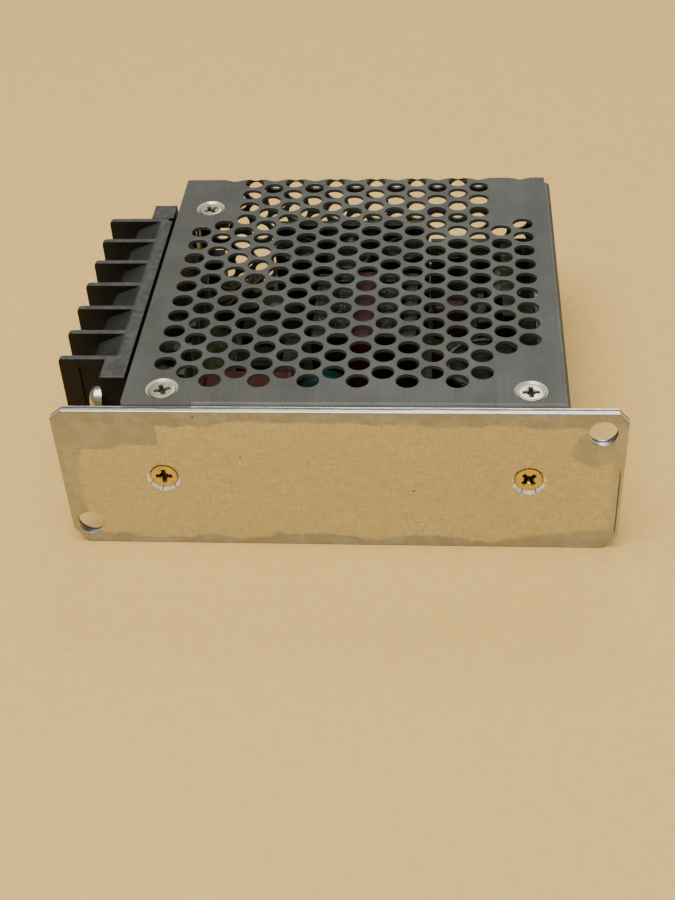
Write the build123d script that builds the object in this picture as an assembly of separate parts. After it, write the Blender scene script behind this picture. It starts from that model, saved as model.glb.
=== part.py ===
from build123d import *
import math
import os

# Enclosed switching power supply with a perforated cover and a flat mounting plate.
# Millimetres. +Z is up through the perforated top, -Y is the face of the mounting plate,
# -X is the terminal end. The origin is at the middle of the bounding box's base.

# Driving dimensions
OVERALL_LENGTH = 101.3      # along X: barrier tips to the far edge of the plate
CASE_LENGTH = 77.1          # along X
CASE_DEPTH = 79.2           # along Y
CASE_HEIGHT = 31.3
COVER_SHEET = 0.8
CHASSIS_SHEET = 1.5
PLATE_LENGTH = 99.3
PLATE_HEIGHT = 30.9
PLATE_SHEET = 1.5
HOLE_DIAMETER = 4.0         # perforations
HOLE_PITCH = 5.0            # staggered at 60 degrees
PUNCH_RIM = 0.12            # rounding of each perforation's outer edge, as a 45 degree bevel
TERMINAL_COUNT = 6
TERMINAL_PITCH = 8.083
BOARD_SHEET = 1.6
BOARD_LIFT = 5.0            # standoff length under the board
M3 = 3.0
RUNNING_GAP = 0.05          # round a shank or a pin in its hole

# Places that follow from them
OVERALL_DEPTH = CASE_DEPTH + PLATE_SHEET
BARRIER_TIP = -OVERALL_LENGTH / 2
PLATE_RIGHT = OVERALL_LENGTH / 2
PLATE_LEFT = PLATE_RIGHT - PLATE_LENGTH
CASE_LEFT = BARRIER_TIP + 14.5
CASE_RIGHT = CASE_LEFT + CASE_LENGTH
PLATE_FRONT = -OVERALL_DEPTH / 2
CASE_FRONT = PLATE_FRONT + PLATE_SHEET
CASE_BACK = CASE_FRONT + CASE_DEPTH
COVER_UNDERSIDE = CASE_HEIGHT - COVER_SHEET

# Cover
BEND_RADIUS = 1.1           # outside of each bend
FLANGE_FOOT = 0.4           # height of the flanges' lower edges
FRONT_FLANGE_DROP = 6.0
FRONT_FLANGE_INSET = 12.3   # the front bend starts this far from the left corner
REAR_RELIEF = 3.0           # the right flange stops this far from the back corner
SHEET_CORNER = 0.9
LATTICE_X = CASE_LEFT + 6.0
LATTICE_Y = CASE_FRONT + 7.1
COLUMN_PITCH = HOLE_PITCH * math.cos(math.radians(30))
ROW_PITCH = HOLE_PITCH / 2
COLUMNS = 16
BEND_ROW = 29               # this row is split between the top and the back flange
FLANGE_ROWS_RISE = 1.0      # the back flange's rows sit this much higher than the top's pitch gives
LAST_ROW = 39
SCREW_MARGIN_ROW = 22       # the two outer columns stop here
BLANKS = ((0, 0), (14, 0), (14, 2), (15, 1), (15, 3))

# Screws
FLAT_HEAD_RADIUS = 2.45
FLAT_HEAD_RIM = 0.15
FLAT_HEAD_ROUNDING = 0.12
SEAT_CLEARANCE = 0.03       # between a head's cone and its seat, along the screw
PAN_HEAD_RADIUS = 2.75
PAN_HEAD_HEIGHT = 2.1
PAN_HEAD_ROUNDING = 1.3
RECESS_BLADE = 0.85         # width of a cross recess's slots at the top
RECESS_DRAFT = 14           # degrees

# Cover screws, M3 countersunk
COVER_SCREW_X = CASE_LEFT + 6.6
COVER_SCREW_RIGHT_X = CASE_LEFT + 70.5
COVER_SCREW_FRONT_Y = CASE_FRONT + 4.6
COVER_SCREW_BACK_Y = CASE_FRONT + 66.4
COVER_SEAT_RADIUS = 2.9     # mouth of each countersink
COVER_SEAT_DEPTH = COVER_SEAT_RADIUS - FLAT_HEAD_RADIUS - FLAT_HEAD_RIM - SEAT_CLEARANCE
COVER_SCREW_LENGTH = 6.0
COVER_SCREW_TURNS = (20, 2, 35)         # degrees each recess is turned

# Mounting plate
# Corner cuts along X and Z, clockwise from the top left
PLATE_CORNERS = ((2.3, 1.8), (1.8, 2.1), (2.7, 2.9), (2.4, 3.3))
PLATE_EDGE_ROUNDING = 0.25
PLATE_HOLE_RADIUS = 2.5
PLATE_HOLE_RIM = 0.15       # 45 degree bevel round each hole's mouth
PLATE_SEAT_RADIUS = 3.05
PLATE_SEAT_DEPTH = PLATE_SEAT_RADIUS - FLAT_HEAD_RADIUS - FLAT_HEAD_RIM - SEAT_CLEARANCE
PLATE_HOLE_RIGHT = (PLATE_RIGHT - 4.2, PLATE_HEIGHT - 4.3)
PLATE_HOLE_LEFT = (PLATE_LEFT + 3.5, 4.7)
PLATE_SCREW_XS = (CASE_LEFT + 6.0, CASE_LEFT + 70.55)
PLATE_SCREW_Z = 15.9
PLATE_SCREW_LENGTH = 6.0
PLATE_SCREW_TURNS = (0, 42)

# Chassis
WALL_GAP = 0.2              # between the cover's flanges and the chassis
WALL_LEFT = CASE_LEFT + WALL_GAP
WALL_INNER = WALL_LEFT + CHASSIS_SHEET
CHASSIS_RIGHT = CASE_RIGHT - COVER_SHEET - WALL_GAP
CHASSIS_BACK = CASE_BACK - COVER_SHEET - WALL_GAP
LIP_SHEET = 1.2
LIP_HEIGHT = 4.7
BOSS_RADIUS = 2.7
BOSS_LENGTH = 1.2
TAB_LENGTH = 10.8
TAB_DEPTH = 8.0             # front tab and right ear, from the case's front
REAR_TAB_HALF = 4.2         # rear tab, each way from its screw
EAR_HALF = 4.5              # right ear, each way from its screw
FRONT_WALL_GAP = 1.5        # between the front wall's top and the cover's front flange
FLOOR_BEND = 1.2
WINDOW_MARGIN = 2.8         # round the terminal block's window in the end wall
ROTOR_HOLE_RADIUS = 2.1
LED_HOLE_RADIUS = 1.6

# Terminal block
BLOCK_TOP = COVER_UNDERSIDE - 0.3
BLOCK_BOTTOM = 12.3
BLOCK_FRONT = CASE_FRONT + 9.2
BLOCK_BACK = CASE_FRONT + 69.8
BAR_FACE = CASE_LEFT - 5.8
CELL_FACE = CASE_LEFT - 9.1
BARRIER_SHEET = 1.2
FIRST_BARRIER = CASE_FRONT + 14.7
TERMINAL_Z = 21.2
WASHER_SHEET = 0.8
CONTACT_SHEET = 0.8
TERMINAL_SCREW_LENGTH = 7.0
BLOCK_SCREW_YS = (BLOCK_FRONT + 1.95, BLOCK_BACK - 1.95)
BLOCK_SCREW_Z = 23.9
BLOCK_SCREW_LENGTH = 8.0
BLOCK_WASHER_SHEET = 0.5
BLOCK_WASHER_RADIUS = 3.0
CLAMP_HALF = 2.9            # half the width of a terminal's screw plate and of its washer
LEG_HALF = 1.2
LEG_DROP = 3.9              # a contact's leg below its screw
LEG_Z = TERMINAL_Z - LEG_DROP
PIN_X = CASE_LEFT + 5.0
PIN_HALF = 0.5
CELL_SLOPE_START = CASE_LEFT - 3.2
CELL_SLOPE_DROP = 2.4
CELL_SLOPE_ROUNDING = 1.6
SHADOW_GAP = (0.95, 2.6)    # width and depth of the groove between the block and the cover
PANEL_STEP = 0.35           # depth of the panel sunk in each end barrier's outer side

# Circuit board
BOARD_BOTTOM = CHASSIS_SHEET + BOARD_LIFT
BOARD_TOP = BOARD_BOTTOM + BOARD_SHEET
BOARD_LEFT = CASE_LEFT + 2.2
BOARD_RIGHT = CASE_LEFT + 74.3
BOARD_FRONT = CASE_FRONT + 2.1
BOARD_BACK = CASE_FRONT + 76.4
STANDOFF_RADIUS = 2.75
BOARD_SCREWS = tuple(
    (CASE_LEFT + x, CASE_FRONT + y) for x, y in ((13.0, 6.5), (71.0, 30.0), (71.0, 72.5), (14.0, 72.5))
)

# Sub-parts on the board: distances from the case's left front corner
FUSE_AT = (26.0, 5.6)
VARISTOR_AT = (46.8, 15.5)
X_CAPACITOR_AT = (19.5, 17.3)
CHOKE_AT = (20.0, 33.0)
Y_CAPACITORS_AT = ((33.5, 21.4), (22.0, 46.0))
THERMISTOR_AT = (39.0, 14.0)
BRIDGE_AT = (46.5, 7.5)
BULK_CAPACITOR_AT = (63.0, 16.0)
TRANSFORMER_AT = (40.6, 35.0)
PRIMARY_SINK_AT = (66.5, 44.5)
OUTPUT_SINK_AT = (36.0, 63.4)
OUTPUT_CAPACITORS_AT = ((25.5, 56.0), (36.3, 52.4), (47.4, 56.0))
OUTPUT_CHOKE_AT = (13.0, 59.5)
OPTOCOUPLER_AT = (58.5, 60.5)
CONTROLLER_AT = (57.0, 71.2)
CONTROL_BOARD_AT = (62.9, 66.0)
TRIMMER_AT = (4.6, 74.0)
LED_AT = (4.0, 5.2)
SMALL_CAPACITORS_AT = ((56.5, 37.8), (56.5, 53.4), (46.5, 71.0))
RESISTORS_AT = ((56.5, 29.5), (56.5, 45.6), (35.0, 71.5), (27.0, 71.5))

# Sizes of those sub-parts
FUSE_LIFT = 5.0                         # the fuse's axis over the board
FUSE_HALF = 10.0
FUSE_CAP_RADIUS = 2.6
FUSE_CAP_LENGTH = 5.0
GLASS_RADIUS = 2.35
GLASS_HALF = 7.4
CLIP_AT = 7.5                           # each clip's middle, from the fuse's middle
CHOKE_FRAME = (15.5, 13.0, 4.6)
CHOKE_WINDOW = (8.2, 5.8)
CHOKE_LIFT = 7.6                        # the frame's middle over the board
CHOKE_LIMB_AT = 4.7
BRIDGE_BODY = (20.0, 3.6, 11.0)
BRIDGE_LIFT = 4.0
BRIDGE_LEADS = (-7.6, -2.5, 2.5, 7.6)
BULK_CAPACITOR_SIZE = (8.0, 20.5)       # radius and height
OUTPUT_CAPACITOR_SIZE = (4.6, 20.0)
CAN_LIFT = 0.6
LEAD_RADIUS = 0.35
SLEEVE_SHEET = 0.2
CORE_SIZE = (19.5, 21.5, 16.4)
CORE_LIMB = 2.4                         # thickness of the core's side limbs
CORE_END = 2.8                          # thickness of its two ends
CORE_LIFT = 12.0                        # the core's middle over the board
LIMB_WIDTH = 5.6
LIMB_HEIGHT = 7.0
CHEEK_SHEET = 0.9
RAIL_SIZE = (18.0, 4.0, 2.2)
RAIL_AT = 8.6
TAPE_WIDTH = 4.4
TAPE_SHEET = 0.23
PACKAGE_TAB = 1.3                       # thickness of a power package's tab
PACKAGE_SCREW_Z = 16.2
PACKAGE_GAP = 0.02                      # paste between a package and its sink
SINK_SHEET = 2.0
PRIMARY_SINK_SIZE = (26.0, 20.0)        # width and height
OUTPUT_SINK_SIZE = (32.0, 20.6)
DIP_PITCH = 2.54
DIP_HALF = 3.1                          # half the width of a dual-in-line body
DIP_ROW = 3.6                           # each row of leads from the middle
CONTROL_BOARD_SIZE = (21.0, 1.2, 15.5)
# Middle along X and Z, then length, height and depth of each chip on it
CONTROL_BOARD_CHIPS = (
    (-7.0, 10.5, 5.0, 4.0, 1.5),
    (0.5, 11.0, 3.2, 1.6, 1.0),
    (0.5, 8.2, 3.2, 1.6, 1.0),
    (7.0, 10.0, 4.4, 3.4, 1.4),
)
RING_RADIUS = 5.6
RING_BORE = 2.9
RING_HEIGHT = 4.4
CHOKE_TURNS = 14
CHOKE_TURN_STEP = 20                    # degrees
TRIMMER_HALF = 2.2
ROTOR_RADIUS = 1.6
ROTOR_REACH = 1.2                       # the rotor stands this far out of the trimmer's face
ROTOR_SLOT_DEPTH = 0.7


def box(x0, x1, y0, y1, z0, z1):
    """Box between two corners."""
    centre = Pos((x0 + x1) / 2, (y0 + y1) / 2, (z0 + z1) / 2)
    return centre * Box(x1 - x0, y1 - y0, z1 - z0)


def rod(start, direction, radius, length):
    """Cylinder that leaves start along direction."""
    upright = Cylinder(radius, length, align=(Align.CENTER, Align.CENTER, Align.MIN))
    return Plane(origin=start, z_dir=direction) * upright


def taper(start, direction, radius, end_radius, length):
    """Cone that leaves start along direction."""
    upright = Cone(radius, end_radius, length, align=(Align.CENTER, Align.CENTER, Align.MIN))
    return Plane(origin=start, z_dir=direction) * upright


def ring(start, direction, radius, bore, length):
    """Tube that leaves start along direction."""
    return rod(start, direction, radius, length) - rod(start, direction, bore, length)


def on_board(place, lift=0.0):
    """Location on the board's top, from the case's left front corner."""
    return Pos(CASE_LEFT + place[0], CASE_FRONT + place[1], BOARD_TOP + lift)


def group(shapes):
    """Separate solids that share one node."""
    solids = []
    for shape in shapes:
        solids.extend(shape.solids())
    return Compound(children=solids)


def cross_recess(radius, depth):
    """Phillips recess below z = 0."""
    blade = extrude(Rectangle(2 * radius, RECESS_BLADE), -depth, taper=RECESS_DRAFT)
    middle = taper((0, 0, 0), (0, 0, -1), 0.6 * radius, 0.2 * radius, depth)
    return blade + Rot(0, 0, 90) * blade + middle


def flat_screw(length):
    """Countersunk M3 screw, its flat head at z = 0 and its shank below."""
    cone_height = FLAT_HEAD_RADIUS - M3 / 2
    head = taper((0, 0, -FLAT_HEAD_RIM), (0, 0, -1), FLAT_HEAD_RADIUS, M3 / 2, cone_height)
    rim = rod((0, 0, 0), (0, 0, -1), FLAT_HEAD_RADIUS, FLAT_HEAD_RIM)
    head += fillet(rim.edges().sort_by(Axis.Z)[-1], FLAT_HEAD_ROUNDING)
    shank_top = FLAT_HEAD_RIM + cone_height / 2
    shank = rod((0, 0, -shank_top), (0, 0, -1), M3 / 2, length - shank_top)
    return head + shank - cross_recess(M3 / 2, 1.1)


def flat_seat(mouth, through):
    """What a countersunk screw's hole takes away, below z = 0."""
    cone = taper((0, 0, 0), (0, 0, -1), mouth, M3 / 2, mouth - M3 / 2)
    return cone + rod((0, 0, 0), (0, 0, -1), M3 / 2 + RUNNING_GAP, through)


def pan_screw(length):
    """Pan-head M3 screw, its head's underside at z = 0 and its shank below."""
    head = rod((0, 0, 0), (0, 0, 1), PAN_HEAD_RADIUS, PAN_HEAD_HEIGHT)
    head = fillet(head.edges().sort_by(Axis.Z)[-1], PAN_HEAD_ROUNDING)
    shank = rod((0, 0, 0), (0, 0, -1), M3 / 2, length)
    return head + shank - Pos(0, 0, PAN_HEAD_HEIGHT) * cross_recess(1.7, 1.3)


# Cover ------------------------------------------------------------------------------------


def bent_flange(width, drop):
    """Bend and flange beyond a sheet's edge: the sheet ends at y = 0, its top at z = 0."""
    inner = BEND_RADIUS - COVER_SHEET
    start = (0, 0)
    with BuildLine(Plane.YZ) as outline:
        Line(start, (0, -COVER_SHEET))
        CenterArc((0, -BEND_RADIUS), inner, 90, -90)
        Line((inner, -BEND_RADIUS), (inner, -drop))
        Line((inner, -drop), (BEND_RADIUS, -drop))
        Line((BEND_RADIUS, -drop), (BEND_RADIUS, -BEND_RADIUS))
        CenterArc((0, -BEND_RADIUS), BEND_RADIUS, 0, 90)
    return extrude(make_face(outline.line), width / 2, both=True)


def is_punched(column, row):
    """Whether the perforated field has a hole there."""
    if (column + row) % 2 or (column, row) in BLANKS:
        return False
    outer_column = column in (0, 1, COLUMNS - 2, COLUMNS - 1)
    return not (outer_column and SCREW_MARGIN_ROW <= row < BEND_ROW)


def perforations():
    """Punches for the top and for the back flange; the bend row is shared by both."""
    bend_line = CASE_BACK - BEND_RADIUS
    on_flange_top = LATTICE_Y + BEND_ROW * ROW_PITCH - bend_line - FLANGE_ROWS_RISE
    radius = HOLE_DIAMETER / 2
    reach = 3 * COVER_SHEET
    through = rod((0, 0, -reach), (0, 0, 1), radius, 2 * reach)
    punch = through + taper((0, 0, -PUNCH_RIM), (0, 0, 1), radius, radius + 2 * PUNCH_RIM, 2 * PUNCH_RIM)
    bend_punch = rod((0, 0, -BEND_RADIUS), (0, 0, 1), radius, reach)
    punches = []
    for column in range(COLUMNS):
        x = LATTICE_X + column * COLUMN_PITCH
        for row in range(BEND_ROW + 1):
            if is_punched(column, row):
                tool = bend_punch if row == BEND_ROW else punch
                punches.append(Pos(x, LATTICE_Y + row * ROW_PITCH, CASE_HEIGHT) * tool)
        for row in range(BEND_ROW, LAST_ROW + 1):
            if is_punched(column, row):
                tool = bend_punch if row == BEND_ROW else punch
                z = CASE_HEIGHT - on_flange_top - (row - BEND_ROW) * ROW_PITCH
                punches.append(Pos(x, CASE_BACK, z) * Rot(-90, 0, 0) * tool)
    return punches


def cover_screw_places():
    """Tops of the three cover screws."""
    return (
        Pos(COVER_SCREW_X, COVER_SCREW_FRONT_Y, CASE_HEIGHT),
        Pos(COVER_SCREW_RIGHT_X, COVER_SCREW_FRONT_Y - 0.3, CASE_HEIGHT),
        Pos(COVER_SCREW_X, COVER_SCREW_BACK_Y, CASE_HEIGHT),
    )


def make_cover_screws():
    """The three cover screws, sunk in their seats."""
    screw = Pos(0, 0, -COVER_SEAT_DEPTH) * flat_screw(COVER_SCREW_LENGTH)
    screws = []
    for place, turn in zip(cover_screw_places(), COVER_SCREW_TURNS):
        screws.append(place * Rot(0, 0, turn) * screw)
    return group(screws)


def make_cover_corner(left, back):
    """Closed corner where the front and right bends meet."""
    foot = CASE_HEIGHT - FRONT_FLANGE_DROP
    corner = box(left, CASE_RIGHT, CASE_FRONT, back, foot, CASE_HEIGHT)
    top_edges = corner.edges().group_by(Axis.Z)[-1]
    front_edge = top_edges.filter_by(Axis.X).sort_by(Axis.Y)[0]
    right_edge = top_edges.filter_by(Axis.Y).sort_by(Axis.X)[-1]
    # Just under the bend's radius: a fillet can't use up the whole width of the top.
    corner = fillet([front_edge, right_edge], BEND_RADIUS - 0.01)
    inside_front = CASE_FRONT + COVER_SHEET
    return corner - box(left, CASE_RIGHT - COVER_SHEET, inside_front, back, foot, COVER_UNDERSIDE)


def make_cover():
    """Perforated steel cover: top, full back and right flanges, and a short front flange."""
    bend_right = CASE_RIGHT - BEND_RADIUS
    bend_back = CASE_BACK - BEND_RADIUS
    bend_front = CASE_FRONT + BEND_RADIUS
    front_start = CASE_LEFT + FRONT_FLANGE_INSET
    top = box(CASE_LEFT, bend_right, CASE_FRONT, bend_back, COVER_UNDERSIDE, CASE_HEIGHT)
    top -= box(front_start, CASE_RIGHT, CASE_FRONT, bend_front, COVER_UNDERSIDE, CASE_HEIGHT)
    front_left = top.edges().filter_by(Axis.Z).group_by(Axis.X)[0].sort_by(Axis.Y)[0]
    top = fillet(front_left, SHEET_CORNER)

    drop = CASE_HEIGHT - FLANGE_FOOT
    back_width = bend_right - CASE_LEFT
    back = bent_flange(back_width, drop)
    back = Pos(CASE_LEFT + back_width / 2, bend_back, CASE_HEIGHT) * back
    right_start = bend_front
    right_width = CASE_BACK - REAR_RELIEF - right_start
    right = Rot(0, 0, -90) * bent_flange(right_width, drop)
    right = Pos(bend_right, right_start + right_width / 2, CASE_HEIGHT) * right
    front_width = bend_right - front_start
    front = Rot(0, 0, 180) * bent_flange(front_width, FRONT_FLANGE_DROP)
    front = Pos(front_start + front_width / 2, bend_front, CASE_HEIGHT) * front

    shell = top + back + right + front + make_cover_corner(bend_right, bend_front)
    seats = [place * flat_seat(COVER_SEAT_RADIUS, 2 * COVER_SHEET) for place in cover_screw_places()]
    return shell - perforations() - seats


# Chassis and mounting plate ------------------------------------------------------------------


def plate_screw_planes():
    """Heads of the two plate screws, facing away from the plate."""
    return [Plane(origin=(x, PLATE_FRONT, PLATE_SCREW_Z), z_dir=(0, -1, 0)) for x in PLATE_SCREW_XS]


def make_plate_screws():
    """Both plate screws, sunk in their seats."""
    screw = Pos(0, 0, -PLATE_SEAT_DEPTH) * flat_screw(PLATE_SCREW_LENGTH)
    screws = []
    for plane, turn in zip(plate_screw_planes(), PLATE_SCREW_TURNS):
        screws.append(plane * Rot(0, 0, turn) * screw)
    return group(screws)


def make_mounting_plate():
    """Flat aluminium plate with two diagonal fixing holes and two countersinks."""
    (x1, z1), (x2, z2), (x3, z3), (x4, z4) = PLATE_CORNERS
    outline = Polyline(
        (PLATE_LEFT, PLATE_HEIGHT - z1), (PLATE_LEFT + x1, PLATE_HEIGHT),
        (PLATE_RIGHT - x2, PLATE_HEIGHT), (PLATE_RIGHT, PLATE_HEIGHT - z2),
        (PLATE_RIGHT, z3), (PLATE_RIGHT - x3, 0),
        (PLATE_LEFT + x4, 0), (PLATE_LEFT, z4), close=True,
    )
    plate = Pos(0, CASE_FRONT, 0) * extrude(Plane.XZ * make_face(outline), PLATE_SHEET)
    plate = fillet(plate.edges().group_by(Axis.Y)[0], PLATE_EDGE_ROUNDING)
    mouth = PLATE_HOLE_RADIUS + PLATE_HOLE_RIM
    for x, z in (PLATE_HOLE_RIGHT, PLATE_HOLE_LEFT):
        plate -= rod((x, PLATE_FRONT, z), (0, 1, 0), PLATE_HOLE_RADIUS, PLATE_SHEET)
        plate -= taper((x, PLATE_FRONT, z), (0, 1, 0), mouth, PLATE_HOLE_RADIUS, PLATE_HOLE_RIM)
    for plane in plate_screw_planes():
        plate -= plane * flat_seat(PLATE_SEAT_RADIUS, 2 * PLATE_SHEET)
    return plate


def make_chassis():
    """Bent aluminium tray: base, front wall, terminal-end wall, two lips and three screw ears."""
    top = COVER_UNDERSIDE
    base = box(WALL_LEFT, CHASSIS_RIGHT, CASE_FRONT, CHASSIS_BACK, 0, CHASSIS_SHEET)
    wall_top = CASE_HEIGHT - FRONT_FLANGE_DROP - FRONT_WALL_GAP
    wall_back = CASE_FRONT + CHASSIS_SHEET
    front_wall = box(WALL_LEFT, CHASSIS_RIGHT, CASE_FRONT, wall_back, 0, wall_top)
    tall_end = CASE_LEFT + FRONT_FLANGE_INSET - 2 * WALL_GAP
    tall_part = box(WALL_LEFT, tall_end, CASE_FRONT, wall_back, 0, top)
    end_wall = box(WALL_LEFT, WALL_INNER, CASE_FRONT, CHASSIS_BACK, 0, top)
    back_lip = box(WALL_LEFT, CHASSIS_RIGHT, CHASSIS_BACK - LIP_SHEET, CHASSIS_BACK, 0, LIP_HEIGHT)
    right_lip = box(CHASSIS_RIGHT - LIP_SHEET, CHASSIS_RIGHT, CASE_FRONT, CHASSIS_BACK, 0, LIP_HEIGHT)
    tray = base + front_wall + tall_part + end_wall + back_lip + right_lip
    front_edge = tray.edges().filter_by(Axis.X).group_by(Axis.Z)[0].sort_by(Axis.Y)[0]
    tray = fillet(front_edge, FLOOR_BEND)

    ear_z = top - CHASSIS_SHEET
    left_tab_end = CASE_LEFT + TAB_LENGTH
    tab_back = CASE_FRONT + TAB_DEPTH
    front_tab = box(WALL_LEFT, left_tab_end, CASE_FRONT, tab_back, ear_z, top)
    rear_y = COVER_SCREW_BACK_Y
    rear_tab = box(WALL_LEFT, left_tab_end, rear_y - REAR_TAB_HALF, rear_y + REAR_TAB_HALF, ear_z, top)
    ear_front = CASE_FRONT + COVER_SHEET + WALL_GAP
    ear_left = COVER_SCREW_RIGHT_X - EAR_HALF
    ear_right = COVER_SCREW_RIGHT_X + EAR_HALF
    ear_foot = wall_top - 2 * CHASSIS_SHEET
    ear_stem = box(ear_left, ear_right, ear_front, ear_front + CHASSIS_SHEET, ear_foot, top)
    ear_top = box(ear_left, ear_right, ear_front, tab_back, ear_z, top)
    tray += front_tab + rear_tab + ear_stem + ear_top

    for x in PLATE_SCREW_XS:
        tray += rod((x, wall_back, PLATE_SCREW_Z), (0, 1, 0), BOSS_RADIUS, BOSS_LENGTH)
        tray -= rod((x, CASE_FRONT, PLATE_SCREW_Z), (0, 1, 0), M3 / 2 + RUNNING_GAP, PLATE_SCREW_LENGTH)
    for y in BLOCK_SCREW_YS:
        tray += rod((WALL_INNER, y, BLOCK_SCREW_Z), (1, 0, 0), BOSS_RADIUS, BOSS_LENGTH)
        tray -= rod((WALL_LEFT, y, BLOCK_SCREW_Z), (1, 0, 0), M3 / 2 + RUNNING_GAP, 4 * CHASSIS_SHEET)
    for place in cover_screw_places():
        tray -= place * flat_seat(COVER_SEAT_RADIUS, 4 * CHASSIS_SHEET)

    window_front = FIRST_BARRIER - 0.2
    window_back = BLOCK_BACK + BLOCK_FRONT - window_front
    window_foot = BLOCK_BOTTOM + WINDOW_MARGIN
    window_top = BLOCK_TOP - WINDOW_MARGIN
    tray -= box(WALL_LEFT, WALL_INNER, window_front, window_back, window_foot, window_top)
    for (y, z), radius in ((rotor_axis(), ROTOR_HOLE_RADIUS), (led_axis(), LED_HOLE_RADIUS)):
        tray -= rod((WALL_LEFT, y, z), (1, 0, 0), radius, CHASSIS_SHEET)
    return tray


# Terminal block ------------------------------------------------------------------------------


def barrier_fronts():
    """Front faces of the barriers between and beside the cells."""
    return [FIRST_BARRIER + i * TERMINAL_PITCH for i in range(TERMINAL_COUNT + 1)]


def terminal_ys():
    """Middle of each cell."""
    half_cell = (TERMINAL_PITCH + BARRIER_SHEET) / 2
    return [FIRST_BARRIER + i * TERMINAL_PITCH + half_cell for i in range(TERMINAL_COUNT)]


def make_contact(y, gap=0.0):
    """Screw plate, leg and board pin of one terminal; gap widens it into its pocket."""
    half = CLAMP_HALF + gap
    leg_half = LEG_HALF + gap
    foot = LEG_Z - gap
    inner = CELL_FACE + CONTACT_SHEET + gap
    plate = box(CELL_FACE, inner, y - half, y + half, foot, TERMINAL_Z + half)
    leg_top = LEG_Z + CONTACT_SHEET + gap
    leg = box(CELL_FACE, PIN_X + PIN_HALF, y - leg_half, y + leg_half, foot, leg_top)
    return plate + leg


def make_terminal_contacts():
    """Six tin-plated contacts, each with a tapped screw hole and a pin down to the board."""
    contacts = []
    for y in terminal_ys():
        pin = box(PIN_X - PIN_HALF, PIN_X + PIN_HALF, y - 0.6, y + 0.6, BOARD_TOP, LEG_Z)
        tapped = rod((CELL_FACE, y, TERMINAL_Z), (1, 0, 0), M3 / 2 + RUNNING_GAP, CONTACT_SHEET)
        contacts.append(make_contact(y) + pin - tapped)
    return group(contacts)


def cell_profile():
    """Section of the housing between the barriers: a flat top, a slope and an upright face."""
    corners = (
        (WALL_LEFT, BLOCK_BOTTOM),
        (WALL_LEFT, BLOCK_TOP),
        (CELL_SLOPE_START, BLOCK_TOP),
        (CELL_FACE, BLOCK_TOP - CELL_SLOPE_DROP),
        (CELL_FACE, BLOCK_BOTTOM),
    )
    with BuildSketch(Plane.XZ) as profile:
        with BuildLine():
            Polyline(*corners, close=True)
        make_face()
        slope_end = profile.vertices().group_by(Axis.X)[0].sort_by(Axis.Y)[-1]
        fillet(slope_end, CELL_SLOPE_ROUNDING)
    return profile.sketch


def make_barrier(front):
    """One thin wall with rounded tip corners."""
    root = CASE_LEFT - 2.0
    wall = box(BARRIER_TIP, root, front, front + BARRIER_SHEET, BLOCK_BOTTOM, BLOCK_TOP)
    wall = fillet(wall.edges().filter_by(Axis.Y).group_by(Axis.X)[0], 1.0)
    top_edges = wall.edges().filter_by(Axis.X).group_by(Axis.Z)[-1]
    return fillet(top_edges, 0.25 * BARRIER_SHEET)


def make_block_end(front, back, outer):
    """Square end of the housing beyond its barriers; outer picks its free end among the top edges."""
    end = box(BAR_FACE, WALL_LEFT, front, back, BLOCK_BOTTOM, BLOCK_TOP)
    top_edges = end.edges().group_by(Axis.Z)[-1]
    free_edge = top_edges.filter_by(Axis.X).sort_by(Axis.Y)[outer]
    left_edge = top_edges.filter_by(Axis.Y).sort_by(Axis.X)[0]
    return fillet([free_edge, left_edge], 0.45)


def make_terminal_block():
    """Moulded housing: the sloped cells, seven barriers and a square block at each end."""
    fronts = barrier_fronts()
    last = fronts[-1] + BARRIER_SHEET
    ends = [make_block_end(BLOCK_FRONT, fronts[0], 0), make_block_end(last, BLOCK_BACK, -1)]
    cells = extrude(cell_profile(), -(fronts[-1] - fronts[0]))
    cells = Pos(0, fronts[0], 0) * cells
    housing = cells + ends + [make_barrier(front) for front in fronts]
    plug_margin = WINDOW_MARGIN + 0.2
    plug_front = FIRST_BARRIER + 0.1
    plug_back = BLOCK_BACK + BLOCK_FRONT - plug_front
    plug_end = WALL_INNER + 0.6
    plug_foot = BLOCK_BOTTOM + plug_margin
    housing += box(WALL_LEFT, plug_end, plug_front, plug_back, plug_foot, BLOCK_TOP - plug_margin)
    gap_left = CASE_LEFT - WALL_GAP - SHADOW_GAP[0]
    gap_foot = BLOCK_TOP - SHADOW_GAP[1]
    housing -= box(gap_left, WALL_LEFT, BLOCK_FRONT, BLOCK_BACK, gap_foot, BLOCK_TOP)

    shank_end = TERMINAL_SCREW_LENGTH - WASHER_SHEET + 0.6
    for y in terminal_ys():
        housing -= make_contact(y, gap=0.02)
        housing -= rod((CELL_FACE, y, TERMINAL_Z), (1, 0, 0), M3 / 2 + 0.3, shank_end)
    for y in BLOCK_SCREW_YS:
        housing -= rod((BAR_FACE, y, BLOCK_SCREW_Z), (1, 0, 0), M3 / 2 + 0.2, WALL_LEFT - BAR_FACE)
    panel_top = BLOCK_TOP - 1.9
    panel_tip = BARRIER_TIP + 3.6
    for panel_front in (fronts[0], last - PANEL_STEP):
        panel_back = panel_front + PANEL_STEP
        housing -= box(panel_tip, BAR_FACE, panel_front, panel_back, BLOCK_BOTTOM, panel_top)
    return housing


def make_terminal_washer(y):
    """Square captive washer on its terminal screw."""
    face = CELL_FACE - WASHER_SHEET
    foot = TERMINAL_Z - CLAMP_HALF
    top = TERMINAL_Z + CLAMP_HALF
    washer = box(face, CELL_FACE, y - CLAMP_HALF, y + CLAMP_HALF, foot, top)
    washer = fillet(washer.edges().filter_by(Axis.X), 0.7)
    return washer - rod((face, y, TERMINAL_Z), (1, 0, 0), M3 / 2 + RUNNING_GAP, WASHER_SHEET)


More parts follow.
